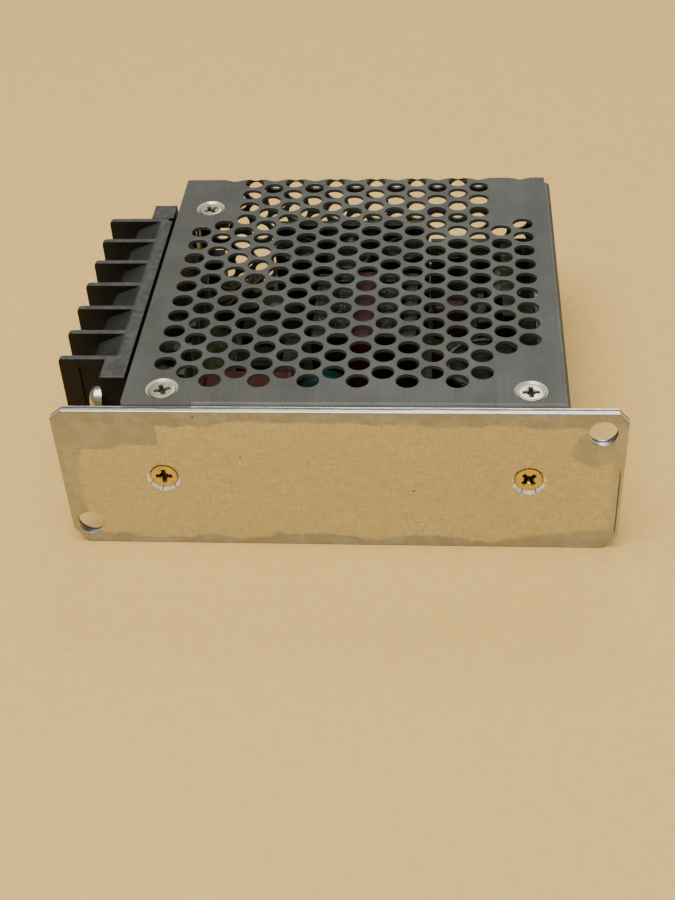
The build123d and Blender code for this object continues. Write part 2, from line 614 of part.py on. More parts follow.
def make_terminal_screw(y):
    """Pan-head wire clamping screw, its axis along X."""
    seat = Plane(origin=(CELL_FACE - WASHER_SHEET, y, TERMINAL_Z), z_dir=(-1, 0, 0))
    return seat * pan_screw(TERMINAL_SCREW_LENGTH)


def block_screw_planes():
    """Outer faces of the washers under the block's own screws, looking out."""
    face = BAR_FACE - BLOCK_WASHER_SHEET
    return [Plane(origin=(face, y, BLOCK_SCREW_Z), z_dir=(-1, 0, 0)) for y in BLOCK_SCREW_YS]


def make_block_screws():
    """The two screws that hold the housing to the end wall."""
    return group([plane * pan_screw(BLOCK_SCREW_LENGTH) for plane in block_screw_planes()])


def make_block_washers():
    """A plain washer under each of the housing's screws."""
    washer = ring((0, 0, 0), (0, 0, -1), BLOCK_WASHER_RADIUS, M3 / 2 + RUNNING_GAP, BLOCK_WASHER_SHEET)
    return group([plane * washer for plane in block_screw_planes()])


# Circuit board and what it stands on ----------------------------------------------------------


def make_circuit_board():
    """Board with a hole for each of its four screws."""
    board = box(BOARD_LEFT, BOARD_RIGHT, BOARD_FRONT, BOARD_BACK, BOARD_BOTTOM, BOARD_TOP)
    for x, y in BOARD_SCREWS:
        board -= rod((x, y, BOARD_BOTTOM), (0, 0, 1), M3 / 2 + 0.1, BOARD_SHEET)
    return board


def make_insulating_sheet():
    """Thin sheet on the chassis floor, cleared around the standoffs."""
    margin = 0.6
    sheet = box(
        WALL_INNER + margin, CHASSIS_RIGHT - LIP_SHEET - margin,
        CASE_FRONT + CHASSIS_SHEET + margin, CHASSIS_BACK - LIP_SHEET - margin,
        CHASSIS_SHEET, CHASSIS_SHEET + 0.4,
    )
    for x, y in BOARD_SCREWS:
        sheet -= rod((x, y, CHASSIS_SHEET), (0, 0, 1), STANDOFF_RADIUS + 0.4, 1)
    return sheet


def make_standoff(x, y):
    """Round riveted spacer with a tapped bore."""
    return ring((x, y, CHASSIS_SHEET), (0, 0, 1), STANDOFF_RADIUS, M3 / 2 + RUNNING_GAP, BOARD_LIFT)


# Components -----------------------------------------------------------------------------------


def make_fuse_tube():
    """Glass tube of a 5 x 20 fuse, lying along X."""
    tube = ring((-GLASS_HALF, 0, 0), (1, 0, 0), GLASS_RADIUS, 1.8, 2 * GLASS_HALF)
    return on_board(FUSE_AT, FUSE_LIFT) * tube


def make_fuse_caps():
    """Two end caps over the glass."""
    caps = []
    for side in (-1, 1):
        inward = (-side, 0, 0)
        cap = rod((side * FUSE_HALF, 0, 0), inward, FUSE_CAP_RADIUS, FUSE_CAP_LENGTH)
        cap -= rod((side * (GLASS_HALF + 0.02), 0, 0), inward, GLASS_RADIUS + 0.02, FUSE_CAP_LENGTH)
        caps.append(on_board(FUSE_AT, FUSE_LIFT) * cap)
    return group(caps)


def make_fuse_clips():
    """Two sprung clips soldered to the board."""
    clips = []
    for side in (-1, 1):
        middle = side * CLIP_AT
        clip = ring((middle - 2, 0, 0), (1, 0, 0), FUSE_CAP_RADIUS + 0.45, FUSE_CAP_RADIUS + 0.02, 4.0)
        clip -= Pos(middle, 0, 3.0) * Box(5, 3.4, 3.0)
        clip += box(middle - 2, middle + 2, -0.6, 0.6, -FUSE_LIFT, -2.8)
        clips.append(on_board(FUSE_AT, FUSE_LIFT) * clip)
    return group(clips)


def disc(radius, thickness, height, lead_gap):
    """Coated disc on two leads, its flat faces along Y."""
    body = rod((0, -thickness / 2, height - radius), (0, 1, 0), radius, thickness)
    body = fillet(body.edges(), thickness * 0.35)
    leads = [rod((x, 0, 0), (0, 0, 1), LEAD_RADIUS, height - radius) for x in (-lead_gap / 2, lead_gap / 2)]
    return body + leads


def film_capacitor(length, width, height):
    """Dipped rectangular film capacitor with rounded edges."""
    body = Pos(0, 0, height / 2 + 0.4) * Box(length, width, height - 0.4)
    body = fillet(body.edges(), 1.1)
    leads = [rod((side * length * 0.4, 0, 0), (0, 0, 1), 0.4, 2.0) for side in (-1, 1)]
    return body + leads


def make_choke_core():
    """Square ferrite frame of the mains line choke."""
    return on_board(CHOKE_AT, CHOKE_LIFT) * (Box(*CHOKE_FRAME) - Box(*CHOKE_WINDOW, CHOKE_FRAME[2]))


def make_choke_windings():
    """Two wound coils on the long limbs of the choke, with four pins."""
    length = CHOKE_WINDOW[0] - 0.4
    limb = (CHOKE_FRAME[1] - CHOKE_WINDOW[1]) / 2
    wound = fillet(Box(length, 7.1, 11.6).edges().filter_by(Axis.X), 1.5)
    wound -= Box(length, limb + 0.04, CHOKE_FRAME[2] + 0.04)
    coils = []
    for side in (-1, 1):
        pins = [rod((x, side * 5.5, -CHOKE_LIFT), (0, 0, 1), 0.4, 3.0) for x in (-2.6, 2.6)]
        coil = Pos(0, side * CHOKE_LIMB_AT, 0) * wound + pins
        coils.append(on_board(CHOKE_AT, CHOKE_LIFT) * coil)
    return group(coils)


def make_bridge_rectifier():
    """In-line four-lead bridge rectifier."""
    body = Pos(0, 0, BRIDGE_LIFT + BRIDGE_BODY[2] / 2) * Box(*BRIDGE_BODY)
    marked_corner = body.edges().group_by(Axis.X)[-1].sort_by(Axis.Z)[-1]
    body = chamfer(marked_corner, 1.4)
    leads = [box(x - 0.45, x + 0.45, -0.3, 0.3, 0, BRIDGE_LIFT) for x in BRIDGE_LEADS]
    return on_board(BRIDGE_AT) * (body + leads)


def rounded_can(radius, height):
    """Upright cylinder that stands just off the board, its top edge rounded."""
    can = rod((0, 0, CAN_LIFT), (0, 0, 1), radius, height - CAN_LIFT)
    return fillet(can.edges().sort_by(Axis.Z)[-1], 0.8)


def make_can(place, radius, height):
    """Aluminium can of a radial capacitor with a scored vent and two leads."""
    vent = Box(radius * 1.1, 0.35, 0.3) + Box(0.35, radius * 1.1, 0.3)
    lead_at = 0.42 * radius
    leads = [rod((x, 0, 0), (0, 0, 1), LEAD_RADIUS, CAN_LIFT) for x in (-lead_at, lead_at)]
    can = rounded_can(radius - SLEEVE_SHEET, height) - Pos(0, 0, height) * vent + leads
    return on_board(place) * can


def make_sleeve(place, radius, height):
    """Shrunk plastic sleeve that laps over the can's shoulder."""
    sleeve = rounded_can(radius, height + SLEEVE_SHEET) - rounded_can(radius - SLEEVE_SHEET, height)
    return on_board(place) * (sleeve - rod((0, 0, height - 1), (0, 0, 1), radius - 1.4, 2))


def make_transformer_core():
    """Flat ferrite frame with a low middle limb along Y that the coil surrounds."""
    length, depth, height = CORE_SIZE
    window_depth = depth - 2 * CORE_END
    window = Box(length - 2 * CORE_LIMB, window_depth, height)
    limb = Box(LIMB_WIDTH, window_depth, LIMB_HEIGHT)
    return on_board(TRANSFORMER_AT, CORE_LIFT) * (Box(length, depth, height) - window + limb)


def make_transformer_bobbin():
    """Moulded bobbin: a sleeve on the middle limb, two cheeks and a pin rail at each end."""
    length, depth, height = CORE_SIZE
    reach = depth - 2 * CORE_END - 0.2
    bore = Box(LIMB_WIDTH + 0.1, depth, LIMB_HEIGHT + 0.1)
    bobbin = Box(LIMB_WIDTH + 1.1, reach, LIMB_HEIGHT + 1.1) - bore
    cheek = Box(length - 2 * CORE_LIMB - 0.2, CHEEK_SHEET, height - 0.6) - bore
    cheek_at = (reach - CHEEK_SHEET) / 2
    rail_z = -height / 2 - 1.2
    for side in (-1, 1):
        bobbin += Pos(0, side * cheek_at, 0) * cheek
        bobbin += Pos(0, side * RAIL_AT, rail_z) * Box(*RAIL_SIZE)
        bobbin += Pos(0, side * cheek_at, rail_z + 1.4) * Box(8.0, CHEEK_SHEET, 1.2)
        for x in (-7.5, -2.5, 2.5, 7.5):
            bobbin += rod((x, side * 9.2, -CORE_LIFT), (0, 0, 1), LEAD_RADIUS, rail_z + CORE_LIFT)
    return on_board(TRANSFORMER_AT, CORE_LIFT) * bobbin


def make_transformer_winding():
    """Taped coil between the bobbin's cheeks."""
    length, depth, height = CORE_SIZE
    coil = Box(length - 2 * CORE_LIMB - 0.4, depth - 2 * CORE_END - 2 * CHEEK_SHEET - 0.3, height - 0.8)
    coil = fillet(coil.edges().filter_by(Axis.Y), 1.0)
    coil -= Box(LIMB_WIDTH + 1.2, depth, LIMB_HEIGHT + 1.2)
    return on_board(TRANSFORMER_AT, CORE_LIFT) * coil


def make_transformer_tape():
    """Band of tape that holds the core together, over its top and down both ends."""
    depth, height = CORE_SIZE[1:]
    outer = Box(TAPE_WIDTH, depth + 0.04 + 2 * TAPE_SHEET, height + 0.2)
    inner = Box(TAPE_WIDTH, depth + 0.04, height + 0.2)
    band = Pos(0, 0, 0.12) * outer - Pos(0, 0, -0.1) * inner
    return on_board(TRANSFORMER_AT, CORE_LIFT) * band


def power_package():
    """Three-lead power package standing on its leads, its tab's back at y = 0."""
    body = box(-5.0, 5.0, -4.5, -PACKAGE_TAB, 4.0, 13.0)
    tab = box(-5.0, 5.0, -PACKAGE_TAB, 0, 4.0, 19.0) - rod((0, 0, PACKAGE_SCREW_Z), (0, -1, 0), 1.8, 2)
    leads = [box(x - 0.4, x + 0.4, -2.8, -2.3, 0, 4.2) for x in (-DIP_PITCH, 0, DIP_PITCH)]
    return Pos(0, -PACKAGE_GAP, 0) * (body + tab + leads)


def sink(width, height):
    """Upright heat sink plate with a foot along its base, its front at y = 0."""
    plate = box(-width / 2, width / 2, 0, SINK_SHEET, 0.4, height)
    tabs = [box(x - 1, x + 1, 0, SINK_SHEET, 0, 0.4) for x in (-0.4 * width, 0.4 * width)]
    fins = [box(x, x + 1.0, SINK_SHEET, 3.2, 6.0, height - 1) for x in (-width / 2, width / 2 - 1.0)]
    hole = rod((0, -1, PACKAGE_SCREW_Z), (0, 1, 0), M3 / 2 + RUNNING_GAP, 6)
    return plate + tabs + fins - hole


def package_screw():
    """M3 pan-head screw through a package's tab into its heat sink."""
    face = -PACKAGE_TAB - PACKAGE_GAP
    return Plane(origin=(0, face, PACKAGE_SCREW_Z), z_dir=(0, -1, 0)) * pan_screw(5.0)


def primary_side():
    """The switching transistor's sink stands along Y and faces -X."""
    return on_board(PRIMARY_SINK_AT) * Rot(0, 0, -90)


def dual_in_line_leads(count, height):
    """Two rows of flat leads, count to a row."""
    leads = []
    for i in range(count):
        x = (i - (count - 1) / 2) * DIP_PITCH
        for y in (-DIP_ROW, DIP_ROW):
            leads.append(box(x - 0.25, x + 0.25, y - 0.5, y + 0.5, 0, height))
    return leads


def make_controller():
    """Eight-lead dual-in-line control circuit."""
    body = box(-4.8, 4.8, -DIP_HALF, DIP_HALF, 0.6, 3.6)
    body -= rod((-4.8, 0, 3.6), (0, 0, -1), 0.9, 0.4)
    return on_board(CONTROLLER_AT) * (body + dual_in_line_leads(4, 1.6))


def make_control_board():
    """Small upright board on a row of pins."""
    width, sheet, height = CONTROL_BOARD_SIZE
    laminate = box(-width / 2, width / 2, -sheet / 2, sheet / 2, 0.5, height)
    pins = [box(x - 0.25, x + 0.25, -0.25, 0.25, 0, 0.5) for x in range(-9, 10, 3)]
    return on_board(CONTROL_BOARD_AT) * (laminate + pins)


def make_control_board_chips():
    """Surface-mounted parts on the upright board's front."""
    face = -CONTROL_BOARD_SIZE[1] / 2
    chips = []
    for x, z, length, height, depth in CONTROL_BOARD_CHIPS:
        chip = Pos(x, face - depth / 2, z) * Box(length, depth, height)
        chips.append(on_board(CONTROL_BOARD_AT) * fillet(chip.edges().group_by(Axis.Y)[0], 0.2))
    return group(chips)


def make_optocoupler():
    """Four-lead optocoupler."""
    body = box(-2.4, 2.4, -DIP_HALF, DIP_HALF, 0.6, 4.0)
    return on_board(OPTOCOUPLER_AT) * (body + dual_in_line_leads(2, 1.8))


def make_output_choke_core():
    """Ring core lying flat."""
    return on_board(OUTPUT_CHOKE_AT, 1.8) * ring((0, 0, 0), (0, 0, 1), RING_RADIUS, RING_BORE, RING_HEIGHT)


def make_output_choke_winding():
    """Turns of thick wire round the ring core, with two ends down to the board."""
    mean = (RING_RADIUS + RING_BORE) / 2
    turn = Pos(mean, 0, 4.0) * (Box(4.2, 0.95, 6.3) - Box(3.1, 0.95, RING_HEIGHT + 0.04))
    end = box(mean + 1.5, mean + 2.1, -0.4, 0.4, 0, 2.0)
    turns = []
    for i in range(CHOKE_TURNS):
        wire = turn + end if i in (0, CHOKE_TURNS - 1) else turn
        turns.append(on_board(OUTPUT_CHOKE_AT) * Rot(0, 0, CHOKE_TURN_STEP * i) * wire)
    return group(turns)


def make_resistor():
    """Axial resistor with bent leads, lying along Y."""
    half = 3.2
    axis_z = 1.8
    resistor = rod((0, -half, axis_z), (0, 1, 0), 1.1, 2 * half)
    for side in (-1, 1):
        resistor += rod((0, side * half, axis_z), (0, -side, 0), 1.3, 1.5)
        resistor += rod((0, side * half, axis_z), (0, side, 0), 0.3, 2.3)
        resistor += rod((0, side * (half + 2.0), 0), (0, 0, 1), 0.3, 2.1)
    return resistor


def led_axis():
    """Y and Z of the lamp's axis."""
    return CASE_FRONT + LED_AT[1], BOARD_TOP + 3.4


def make_status_led():
    """Round 3 mm lamp that looks out through the end wall."""
    y, z = led_axis()
    start = CASE_LEFT + LED_AT[0]
    lamp = rod((start, y, z), (-1, 0, 0), 1.5, 2.6)
    lamp += Pos(start - 2.6, y, z) * Sphere(1.5)
    lamp += rod((start, y, z), (1, 0, 0), 1.9, 1.0)
    for side in (-1, 1):
        lamp += rod((start + 0.5, y + side * 1.27, BOARD_TOP), (0, 0, 1), 0.3, 3.4)
    return lamp


def rotor_axis():
    """Y and Z of the trimmer's turning axis."""
    return CASE_FRONT + TRIMMER_AT[1], BOARD_TOP + 3.6


def make_trimmer_body():
    """Square output voltage trimmer that faces the end wall."""
    y, z = rotor_axis()
    x = CASE_LEFT + TRIMMER_AT[0]
    face = x - TRIMMER_HALF
    body = box(face, x + TRIMMER_HALF, y - 3.3, y + 2.3, BOARD_TOP + 0.5, BOARD_TOP + 7.0)
    body -= rod((face, y, z), (1, 0, 0), ROTOR_RADIUS + RUNNING_GAP, 3.0)
    legs = [rod((x, y + offset, BOARD_TOP), (0, 0, 1), 0.3, 1.0) for offset in (-2.5, 1.5)]
    return body + legs


def make_trimmer_rotor():
    """Turning piece with a cross slot, reached through the end wall."""
    y, z = rotor_axis()
    x = CASE_LEFT + TRIMMER_AT[0]
    face = x - TRIMMER_HALF - ROTOR_REACH
    floor = face + ROTOR_SLOT_DEPTH
    rotor = rod((face, y, z), (1, 0, 0), ROTOR_RADIUS, 4.1)
    rotor -= box(face, floor, y - ROTOR_RADIUS, y + ROTOR_RADIUS, z - 0.25, z + 0.25)
    return rotor - box(face, floor, y - 0.25, y + 0.25, z - 1.0, z + 1.0)


def repeated(places, shape):
    """The same shape at several places on the board, as one node."""
    return group([on_board(place) * shape for place in places])


def make_package_screws():
    """One screw through each power package."""
    screw = package_screw()
    return group([on_board(OUTPUT_SINK_AT) * screw, primary_side() * screw])


def make_output_cans():
    """The three output capacitors' cans."""
    return group([make_can(place, *OUTPUT_CAPACITOR_SIZE) for place in OUTPUT_CAPACITORS_AT])


def make_output_sleeves():
    """The three output capacitors' sleeves."""
    return group([make_sleeve(place, *OUTPUT_CAPACITOR_SIZE) for place in OUTPUT_CAPACITORS_AT])


def make_parts():
    """Every node's name and shape."""
    parts = {
        "chassis": make_chassis(),
        "cover": make_cover(),
        "mounting_plate": make_mounting_plate(),
        "plate_screws": make_plate_screws(),
        "cover_screws": make_cover_screws(),
        "terminal_block_housing": make_terminal_block(),
        "terminal_contacts": make_terminal_contacts(),
        "block_screws": make_block_screws(),
        "block_washers": make_block_washers(),
        "circuit_board": make_circuit_board(),
        "insulating_sheet": make_insulating_sheet(),
        "board_standoffs": group([make_standoff(x, y) for x, y in BOARD_SCREWS]),
        "board_screws": group([Pos(x, y, BOARD_TOP) * pan_screw(5.0) for x, y in BOARD_SCREWS]),
        "fuse_tube": make_fuse_tube(),
        "fuse_end_caps": make_fuse_caps(),
        "fuse_clips": make_fuse_clips(),
        "varistor": on_board(VARISTOR_AT) * disc(4.5, 4.0, 12.0, 5.0),
        "mains_film_capacitor": on_board(X_CAPACITOR_AT) * film_capacitor(17.0, 7.6, 15.0),
        "line_choke_core": make_choke_core(),
        "line_choke_windings": make_choke_windings(),
        "safety_disc_capacitors": repeated(Y_CAPACITORS_AT, disc(5.0, 3.8, 14.0, 7.0)),
        "inrush_thermistor": on_board(THERMISTOR_AT) * Rot(0, 0, 90) * disc(4.6, 4.2, 13.0, 5.0),
        "bridge_rectifier": make_bridge_rectifier(),
        "bulk_capacitor_can": make_can(BULK_CAPACITOR_AT, *BULK_CAPACITOR_SIZE),
        "bulk_capacitor_sleeve": make_sleeve(BULK_CAPACITOR_AT, *BULK_CAPACITOR_SIZE),
        "transformer_core": make_transformer_core(),
        "transformer_bobbin": make_transformer_bobbin(),
        "transformer_winding": make_transformer_winding(),
        "transformer_tape_band": make_transformer_tape(),
        "primary_heat_sink": primary_side() * sink(*PRIMARY_SINK_SIZE),
        "switching_transistor": primary_side() * power_package(),
        "output_heat_sink": on_board(OUTPUT_SINK_AT) * sink(*OUTPUT_SINK_SIZE),
        "output_rectifier": on_board(OUTPUT_SINK_AT) * power_package(),
        "package_screws": make_package_screws(),
        "output_capacitor_cans": make_output_cans(),
        "output_capacitor_sleeves": make_output_sleeves(),
        "output_choke_core": make_output_choke_core(),
        "output_choke_winding": make_output_choke_winding(),
        "control_circuit": make_controller(),
        "control_board": make_control_board(),
        "control_board_chips": make_control_board_chips(),
        "optocoupler": make_optocoupler(),
        "small_film_capacitors": repeated(SMALL_CAPACITORS_AT, film_capacitor(7.0, 3.4, 8.0)),
        "resistors": repeated(RESISTORS_AT, make_resistor()),
        "status_led": make_status_led(),
        "trimmer_body": make_trimmer_body(),
        "trimmer_rotor": make_trimmer_rotor(),
    }
    for number, y in enumerate(terminal_ys(), start=1):
        parts[f"terminal_screw_{number}"] = make_terminal_screw(y)
        parts[f"terminal_washer_{number}"] = make_terminal_washer(y)
    return parts


os.makedirs("parts", exist_ok=True)
for name, shape in make_parts().items():
    export_step(shape, f"parts/{name}.step")
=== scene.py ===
import math

import bpy
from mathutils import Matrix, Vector


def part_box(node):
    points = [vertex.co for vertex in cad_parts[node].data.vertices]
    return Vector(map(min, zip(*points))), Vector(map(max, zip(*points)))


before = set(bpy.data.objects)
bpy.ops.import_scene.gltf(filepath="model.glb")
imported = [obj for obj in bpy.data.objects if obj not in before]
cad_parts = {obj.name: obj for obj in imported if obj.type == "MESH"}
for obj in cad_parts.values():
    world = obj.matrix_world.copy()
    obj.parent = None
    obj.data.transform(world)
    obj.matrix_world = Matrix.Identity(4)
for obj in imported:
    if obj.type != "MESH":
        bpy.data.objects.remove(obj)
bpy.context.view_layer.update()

MM = 0.001


def srgb(red, green, blue):
    """Linear colour from 8-bit screen values."""
    channels = []
    for value in (red, green, blue):
        part = value / 255
        channels.append(part / 12.92 if part <= 0.04045 else ((part + 0.055) / 1.055) ** 2.4)
    return (*channels, 1.0)


# Places, all read from the frame -----------------------------------------------------------

COVER_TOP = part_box("cover")[1].z
BLOCK_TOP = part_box("terminal_block_housing")[1].z
PLATE_LOW, PLATE_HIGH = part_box("mounting_plate")
COVER_HEADS_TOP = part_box("cover_screws")[1].z
PLATE_HEADS_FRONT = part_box("plate_screws")[0].y

# Sizes that the boxes don't give
HEAD_RADIUS = 2.45 * MM
COVER_SEAT_RADIUS = 2.93 * MM
PLATE_SEAT_RADIUS = 3.05 * MM
FRONT_SCREWS_STAGGER = 0.3 * MM     # the left front cover screw sits this much further back
PACKAGE_BODY_DEPTH = 3.2 * MM       # moulding of a power package, from its front to its tab
PACKAGE_LEAD_LENGTH = 4.0 * MM
CHIP_HALF_DEPTH = 3.12 * MM         # a chip's moulding, from its middle to its rows of legs
RESISTOR_BODY_FOOT = 0.74 * MM      # underside of a resistor's body over its lowest point
WIRE_PITCH = 0.55 * MM              # turns of the line choke
TERMINALS = 6


# Materials ---------------------------------------------------------------------------------


class Recipe:
    """A node material in the making: one principled shader and the textures that feed it."""

    def __init__(self, name, metallic=0.0, roughness=0.5, colour=None):
        self.material = bpy.data.materials.new(name)
        self.material.use_nodes = True
        self.tree = self.material.node_tree
        self.shader = self.tree.nodes["Principled BSDF"]
        self.place = self.add("ShaderNodeTexCoord").outputs["Object"]
        self.height = None
        self.set("Metallic", metallic)
        self.set("Roughness", roughness)
        if colour:
            self.set("Base Color", colour)

    def add(self, kind, **settings):
        """New node with some of its properties set."""
        node = self.tree.nodes.new(kind)
        for key, value in settings.items():
            setattr(node, key, value)
        return node

    def feed(self, socket, value):
        """Links a socket to another, or sets it to a number or a colour."""
        if hasattr(value, "is_linked"):
            self.tree.links.new(value, socket)
        else:
            socket.default_value = value

    def set(self, name, value):
        """Sets or links one of the shader's inputs."""
        self.feed(self.shader.inputs[name], value)

    def scaled(self, size, stretch, seed):
        """Coordinates in units of size, longer along an axis by its stretch."""
        mapping = self.add("ShaderNodeMapping")
        self.feed(mapping.inputs["Vector"], self.place)
        mapping.inputs["Scale"].default_value = [1 / (size * factor) for factor in stretch]
        mapping.inputs["Location"].default_value = (seed * 7.3, seed * 3.1, seed * 5.7)
        return mapping.outputs["Vector"]

    def noise(self, size, stretch=(1, 1, 1), detail=3.0, seed=0, rough=0.55, warp=0.0):
        """Smooth noise from 0 to 1 whose lumps are about size metres wide."""
        node = self.add("ShaderNodeTexNoise")
        self.feed(node.inputs["Vector"], self.scaled(size, stretch, seed))
        node.inputs["Scale"].default_value = 1.0
        node.inputs["Detail"].default_value = detail
        node.inputs["Roughness"].default_value = rough
        node.inputs["Distortion"].default_value = warp
        return node.outputs["Fac"]

    def cells(self, size, seed):
        """Distance from scattered points, in units of size."""
        node = self.add("ShaderNodeTexVoronoi", feature="F1")
        self.feed(node.inputs["Vector"], self.scaled(size, (1, 1, 1), seed))
        node.inputs["Scale"].default_value = 1.0
        return node.outputs["Distance"]

    def axis(self, name):
        """One coordinate of the place, in metres."""
        node = self.add("ShaderNodeSeparateXYZ")
        self.feed(node.inputs["Vector"], self.place)
        return node.outputs[name]

    def upward(self):
        """How far the surface faces up, from -1 to 1."""
        node = self.add("ShaderNodeSeparateXYZ")
        self.feed(node.inputs["Vector"], self.add("ShaderNodeTexCoord").outputs["Normal"])
        return node.outputs["Z"]

    def math(self, operation, first, second=0.0, third=0.0):
        """Result of one sum on sockets or numbers."""
        node = self.add("ShaderNodeMath", operation=operation)
        for socket, value in zip(node.inputs, (first, second, third)):
            self.feed(socket, value)
        return node.outputs[0]

    def step(self, value, low, high, out_low=0.0, out_high=1.0):
        """Smooth rise from out_low at low to out_high at high."""
        node = self.add("ShaderNodeMapRange", interpolation_type="SMOOTHSTEP")
        for socket, number in zip(node.inputs, (value, low, high, out_low, out_high)):
            self.feed(socket, number)
        return node.outputs["Result"]

    def mix(self, factor, first, second):
        """Blend of two colours."""
        node = self.add("ShaderNodeMix", data_type="RGBA")
        self.feed(node.inputs["Factor"], factor)
        self.feed(node.inputs[6], first)
        self.feed(node.inputs[7], second)
        return node.outputs[2]

    def product(self, *values):
        """Values multiplied together."""
        result = values[0]
        for value in values[1:]:
            result = self.math("MULTIPLY", result, value)
        return result

    def nearest(self, axes, first_axis, second_axis):
        """Distance from the nearest of several parallel lines, in metres."""
        gaps = [self.distance(first_axis, a, second_axis, b) for a, b in axes]
        result = gaps[0]
        for gap in gaps[1:]:
            result = self.math("MINIMUM", result, gap)
        return result

    def inverse(self, mask):
        """One minus a mask."""
        return self.math("SUBTRACT", 1.0, mask)

    def tint(self, mask, strength, base, colour):
        """Base colour with another laid over it where the mask says."""
        return self.mix(self.math("MULTIPLY", mask, strength), base, colour)

    def highest(self, *values):
        """Largest of the values."""
        result = values[0]
        for value in values[1:]:
            result = self.math("MAXIMUM", result, value)
        return result

    def distance(self, first_axis, first, second_axis, second):
        """Distance from a line that is square to both axes, in metres."""
        across = self.math("SUBTRACT", self.axis(first_axis), first)
        along = self.math("SUBTRACT", self.axis(second_axis), second)
        squares = self.math("MULTIPLY_ADD", across, across, self.math("MULTIPLY", along, along))
        return self.math("SQRT", squares)

    def bearing(self, first_axis, first, second_axis, second):
        """Angle about the same line, in radians."""
        across = self.math("SUBTRACT", self.axis(first_axis), first)
        along = self.math("SUBTRACT", self.axis(second_axis), second)
        return self.math("ARCTAN2", along, across)

    def sink_by(self, mask, depth):
        """Adds a dent, depth metres deep where the mask is full."""
        self.raise_by(self.math("MULTIPLY", mask, -1.0), depth)

    def raise_by(self, height, depth):
        """Adds a layer of relief, depth metres from its lowest to its highest."""
        bump = self.add("ShaderNodeBump")
        bump.inputs["Strength"].default_value = 1.0
        bump.inputs["Distance"].default_value = depth
        self.feed(bump.inputs["Height"], height)
        if self.height:
            self.feed(bump.inputs["Normal"], self.height)
        self.height = bump.outputs["Normal"]
        self.set("Normal", self.height)


def cover_screw_axes():
    """X and Y of the three cover screws."""
    low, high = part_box("cover_screws")
    left, right = low.x + HEAD_RADIUS, high.x - HEAD_RADIUS
    right_front = low.y + HEAD_RADIUS
    back = high.y - HEAD_RADIUS
    return ((left, right_front + FRONT_SCREWS_STAGGER), (right, right_front), (left, back))


def plate_screw_axes():
    """X and Z of the two plate screws."""
    low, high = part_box("plate_screws")
    middle = (low.z + high.z) / 2
    return ((low.x + HEAD_RADIUS, middle), (high.x - HEAD_RADIUS, middle))


def cover_paint():
    """Satin dark grey paint over brushed sheet, lightly scratched, with bare countersinks and
    painted highlights on the hole edges.
    """
    paint = Recipe("cover_paint_look")
    streaks = paint.noise(0.35 * MM, stretch=(1, 60, 60), detail=4, seed=1)
    cross_streaks = paint.noise(0.3 * MM, stretch=(50, 1, 1), detail=3, seed=2)
    clouds = paint.noise(14 * MM, detail=4, seed=3, rough=0.6)
    tone = paint.math("MULTIPLY_ADD", streaks, 0.3, paint.math("MULTIPLY", clouds, 0.7))
    base = paint.mix(paint.step(tone, 0.3, 0.7), srgb(65, 67, 65), srgb(83, 86, 83))
    scratch_lines = paint.noise(0.16 * MM, stretch=(34, 1, 1), detail=2, seed=5)
    patches = paint.noise(9 * MM, detail=2, seed=6)
    scratches = paint.product(
        paint.step(scratch_lines, 0.68, 0.74), paint.step(patches, 0.52, 0.62)
    )
    base = paint.tint(scratches, 0.55, base, srgb(38, 39, 37))
    rub_lines = paint.noise(0.14 * MM, stretch=(26, 1.5, 1), detail=2, seed=8)
    base = paint.tint(paint.step(rub_lines, 0.72, 0.78), 0.3, base, srgb(120, 120, 114))
    dust = paint.step(paint.noise(0.5 * MM, detail=3, seed=9), 0.66, 0.78)
    base = paint.tint(dust, 0.2, base, srgb(150, 148, 138))
    depth = paint.math("SUBTRACT", COVER_TOP, paint.axis("Z"))
    off_axis = paint.nearest(cover_screw_axes(), "X", "Y")
    bare = paint.product(
        paint.step(off_axis, COVER_SEAT_RADIUS + 0.03 * MM, COVER_SEAT_RADIUS),
        paint.step(depth, 0.02 * MM, 0.05 * MM),
    )
    # Painted highlight: the rounded edges of the holes, just under the top, are painted lighter.
    hole_edge_highlight = paint.product(
        paint.step(depth, 0.01 * MM, 0.04 * MM), paint.step(depth, 0.13 * MM, 0.08 * MM),
        paint.noise(1.1 * MM, detail=2, seed=10),
    )
    base = paint.tint(hole_edge_highlight, 0.6, base, srgb(140, 141, 137))
    paint.set("Base Color", paint.mix(bare, base, srgb(236, 233, 216)))
    paint.set("Metallic", paint.math("MULTIPLY", bare, 0.55))
    sheen = paint.noise(5 * MM, stretch=(1, 4, 4), detail=4, seed=4)
    rough = paint.step(sheen, 0.3, 0.7, 0.44, 0.56)
    paint.set("Roughness", paint.math("MULTIPLY_ADD", bare, -0.2, rough))
    paint.set("Specular IOR Level", 0.4)
    paint.raise_by(paint.noise(0.22 * MM, detail=2, seed=7), 0.006 * MM)
    paint.raise_by(streaks, 0.005 * MM)
    paint.raise_by(cross_streaks, 0.004 * MM)
    paint.sink_by(scratches, 0.012 * MM)
    return paint.material


# Reach of the plate's stain, in metres
STAIN_TOP = 2.9 * MM
STAIN_BOTTOM = 2.1 * MM
STAIN_LEFT = 3.6 * MM
STAIN_RIGHT = 2.2 * MM
STAIN_STEPS = (                                 # in from the left, down from the top
    (18.3 * MM, 7.4 * MM), (10.7 * MM, 8.3 * MM), (4.2 * MM, 9.7 * MM),
)
STAIN_SPOT = (5.3 * MM, 8.0 * MM, 3.4 * MM)     # in from the right, down from the top, radius
STAIN_CORNER_LENGTH = 21.5 * MM


